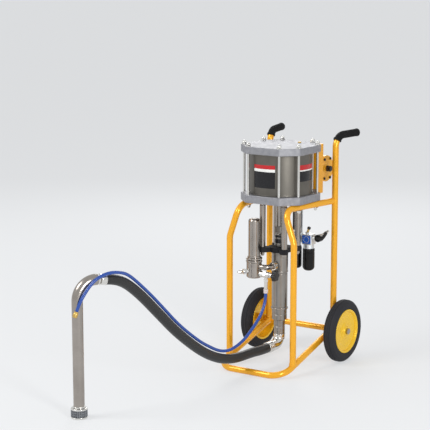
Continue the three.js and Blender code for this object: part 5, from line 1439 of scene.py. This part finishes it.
class SPRAYER_OT_wheels(bpy.types.Operator):
    """Tyres, discs and the axle"""

    bl_idname = "sprayer.wheels"
    bl_label = "Wheels"
    bl_options = {"REGISTER", "UNDO"}

    def execute(self, context):
        make_wheels()
        return {"FINISHED"}


class SPRAYER_OT_motor(bpy.types.Operator):
    """Plates, cylinder, rods and cap nuts"""

    bl_idname = "sprayer.motor"
    bl_label = "Air motor"
    bl_options = {"REGISTER", "UNDO"}

    def execute(self, context):
        make_motor()
        return {"FINISHED"}


class SPRAYER_OT_valve(bpy.types.Operator):
    """Manifold, valve, covers and reset button"""

    bl_idname = "sprayer.valve"
    bl_label = "Reversing valve"
    bl_options = {"REGISTER", "UNDO"}

    def execute(self, context):
        make_valve()
        return {"FINISHED"}


class SPRAYER_OT_pump(bpy.types.Operator):
    """Posts, flange, housing, gland, cylinder and foot valve"""

    bl_idname = "sprayer.pump"
    bl_label = "Pump"
    bl_options = {"REGISTER", "UNDO"}

    def execute(self, context):
        make_pump()
        return {"FINISHED"}


class SPRAYER_OT_filter(bpy.types.Operator):
    """Filter, spray outlet and drain valve"""

    bl_idname = "sprayer.filter"
    bl_label = "Filter"
    bl_options = {"REGISTER", "UNDO"}

    def execute(self, context):
        make_filter()
        return {"FINISHED"}


class SPRAYER_OT_air_unit(bpy.types.Operator):
    """Regulator, lubricator, air valve and air line"""

    bl_idname = "sprayer.air_unit"
    bl_label = "Air unit"
    bl_options = {"REGISTER", "UNDO"}

    def execute(self, context):
        make_air_unit()
        return {"FINISHED"}


class SPRAYER_OT_inner_parts(bpy.types.Operator):
    """Finishes of the parts inside"""

    bl_idname = "sprayer.inner_parts"
    bl_label = "Inner parts"
    bl_options = {"REGISTER", "UNDO"}

    def execute(self, context):
        make_inner_parts()
        return {"FINISHED"}


STEPS = [
    SPRAYER_OT_stage,
    SPRAYER_OT_hoses,
    SPRAYER_OT_cart,
    SPRAYER_OT_wheels,
    SPRAYER_OT_motor,
    SPRAYER_OT_valve,
    SPRAYER_OT_pump,
    SPRAYER_OT_filter,
    SPRAYER_OT_air_unit,
    SPRAYER_OT_inner_parts,
]


class SPRAYER_PT_panel(bpy.types.Panel):
    """Lists the sprayer's settings and pieces in the sidebar"""

    bl_label = "Paint sprayer"
    bl_idname = "SPRAYER_PT_panel"
    bl_space_type = "VIEW_3D"
    bl_region_type = "UI"
    bl_category = "Sprayer"

    def draw(self, context):
        scene = context.scene
        for settings in (scene.sprayer_sizes, scene.sprayer_colours, scene.sprayer_view):
            box = self.layout.box()
            for name in settings.__annotations__:
                box.prop(settings, name)
        column = self.layout.column(align=True)
        for operator in STEPS:
            column.operator(operator.bl_idname)


CLASSES = [SprayerSizes, SprayerColours, SprayerView, *STEPS, SPRAYER_PT_panel]


def register():
    for cls in CLASSES:
        bpy.utils.register_class(cls)
    bpy.types.Scene.sprayer_sizes = bpy.props.PointerProperty(type=SprayerSizes)
    bpy.types.Scene.sprayer_colours = bpy.props.PointerProperty(type=SprayerColours)
    bpy.types.Scene.sprayer_view = bpy.props.PointerProperty(type=SprayerView)


def unregister():
    del bpy.types.Scene.sprayer_view
    del bpy.types.Scene.sprayer_colours
    del bpy.types.Scene.sprayer_sizes
    for cls in reversed(CLASSES):
        bpy.utils.unregister_class(cls)


def main():
    register()
    bpy.ops.sprayer.stage()
    bpy.ops.sprayer.hoses()
    bpy.ops.sprayer.cart()
    bpy.ops.sprayer.wheels()
    bpy.ops.sprayer.motor()
    bpy.ops.sprayer.valve()
    bpy.ops.sprayer.pump()
    bpy.ops.sprayer.filter()
    bpy.ops.sprayer.air_unit()
    bpy.ops.sprayer.inner_parts()


if __name__ == "__main__":
    main()
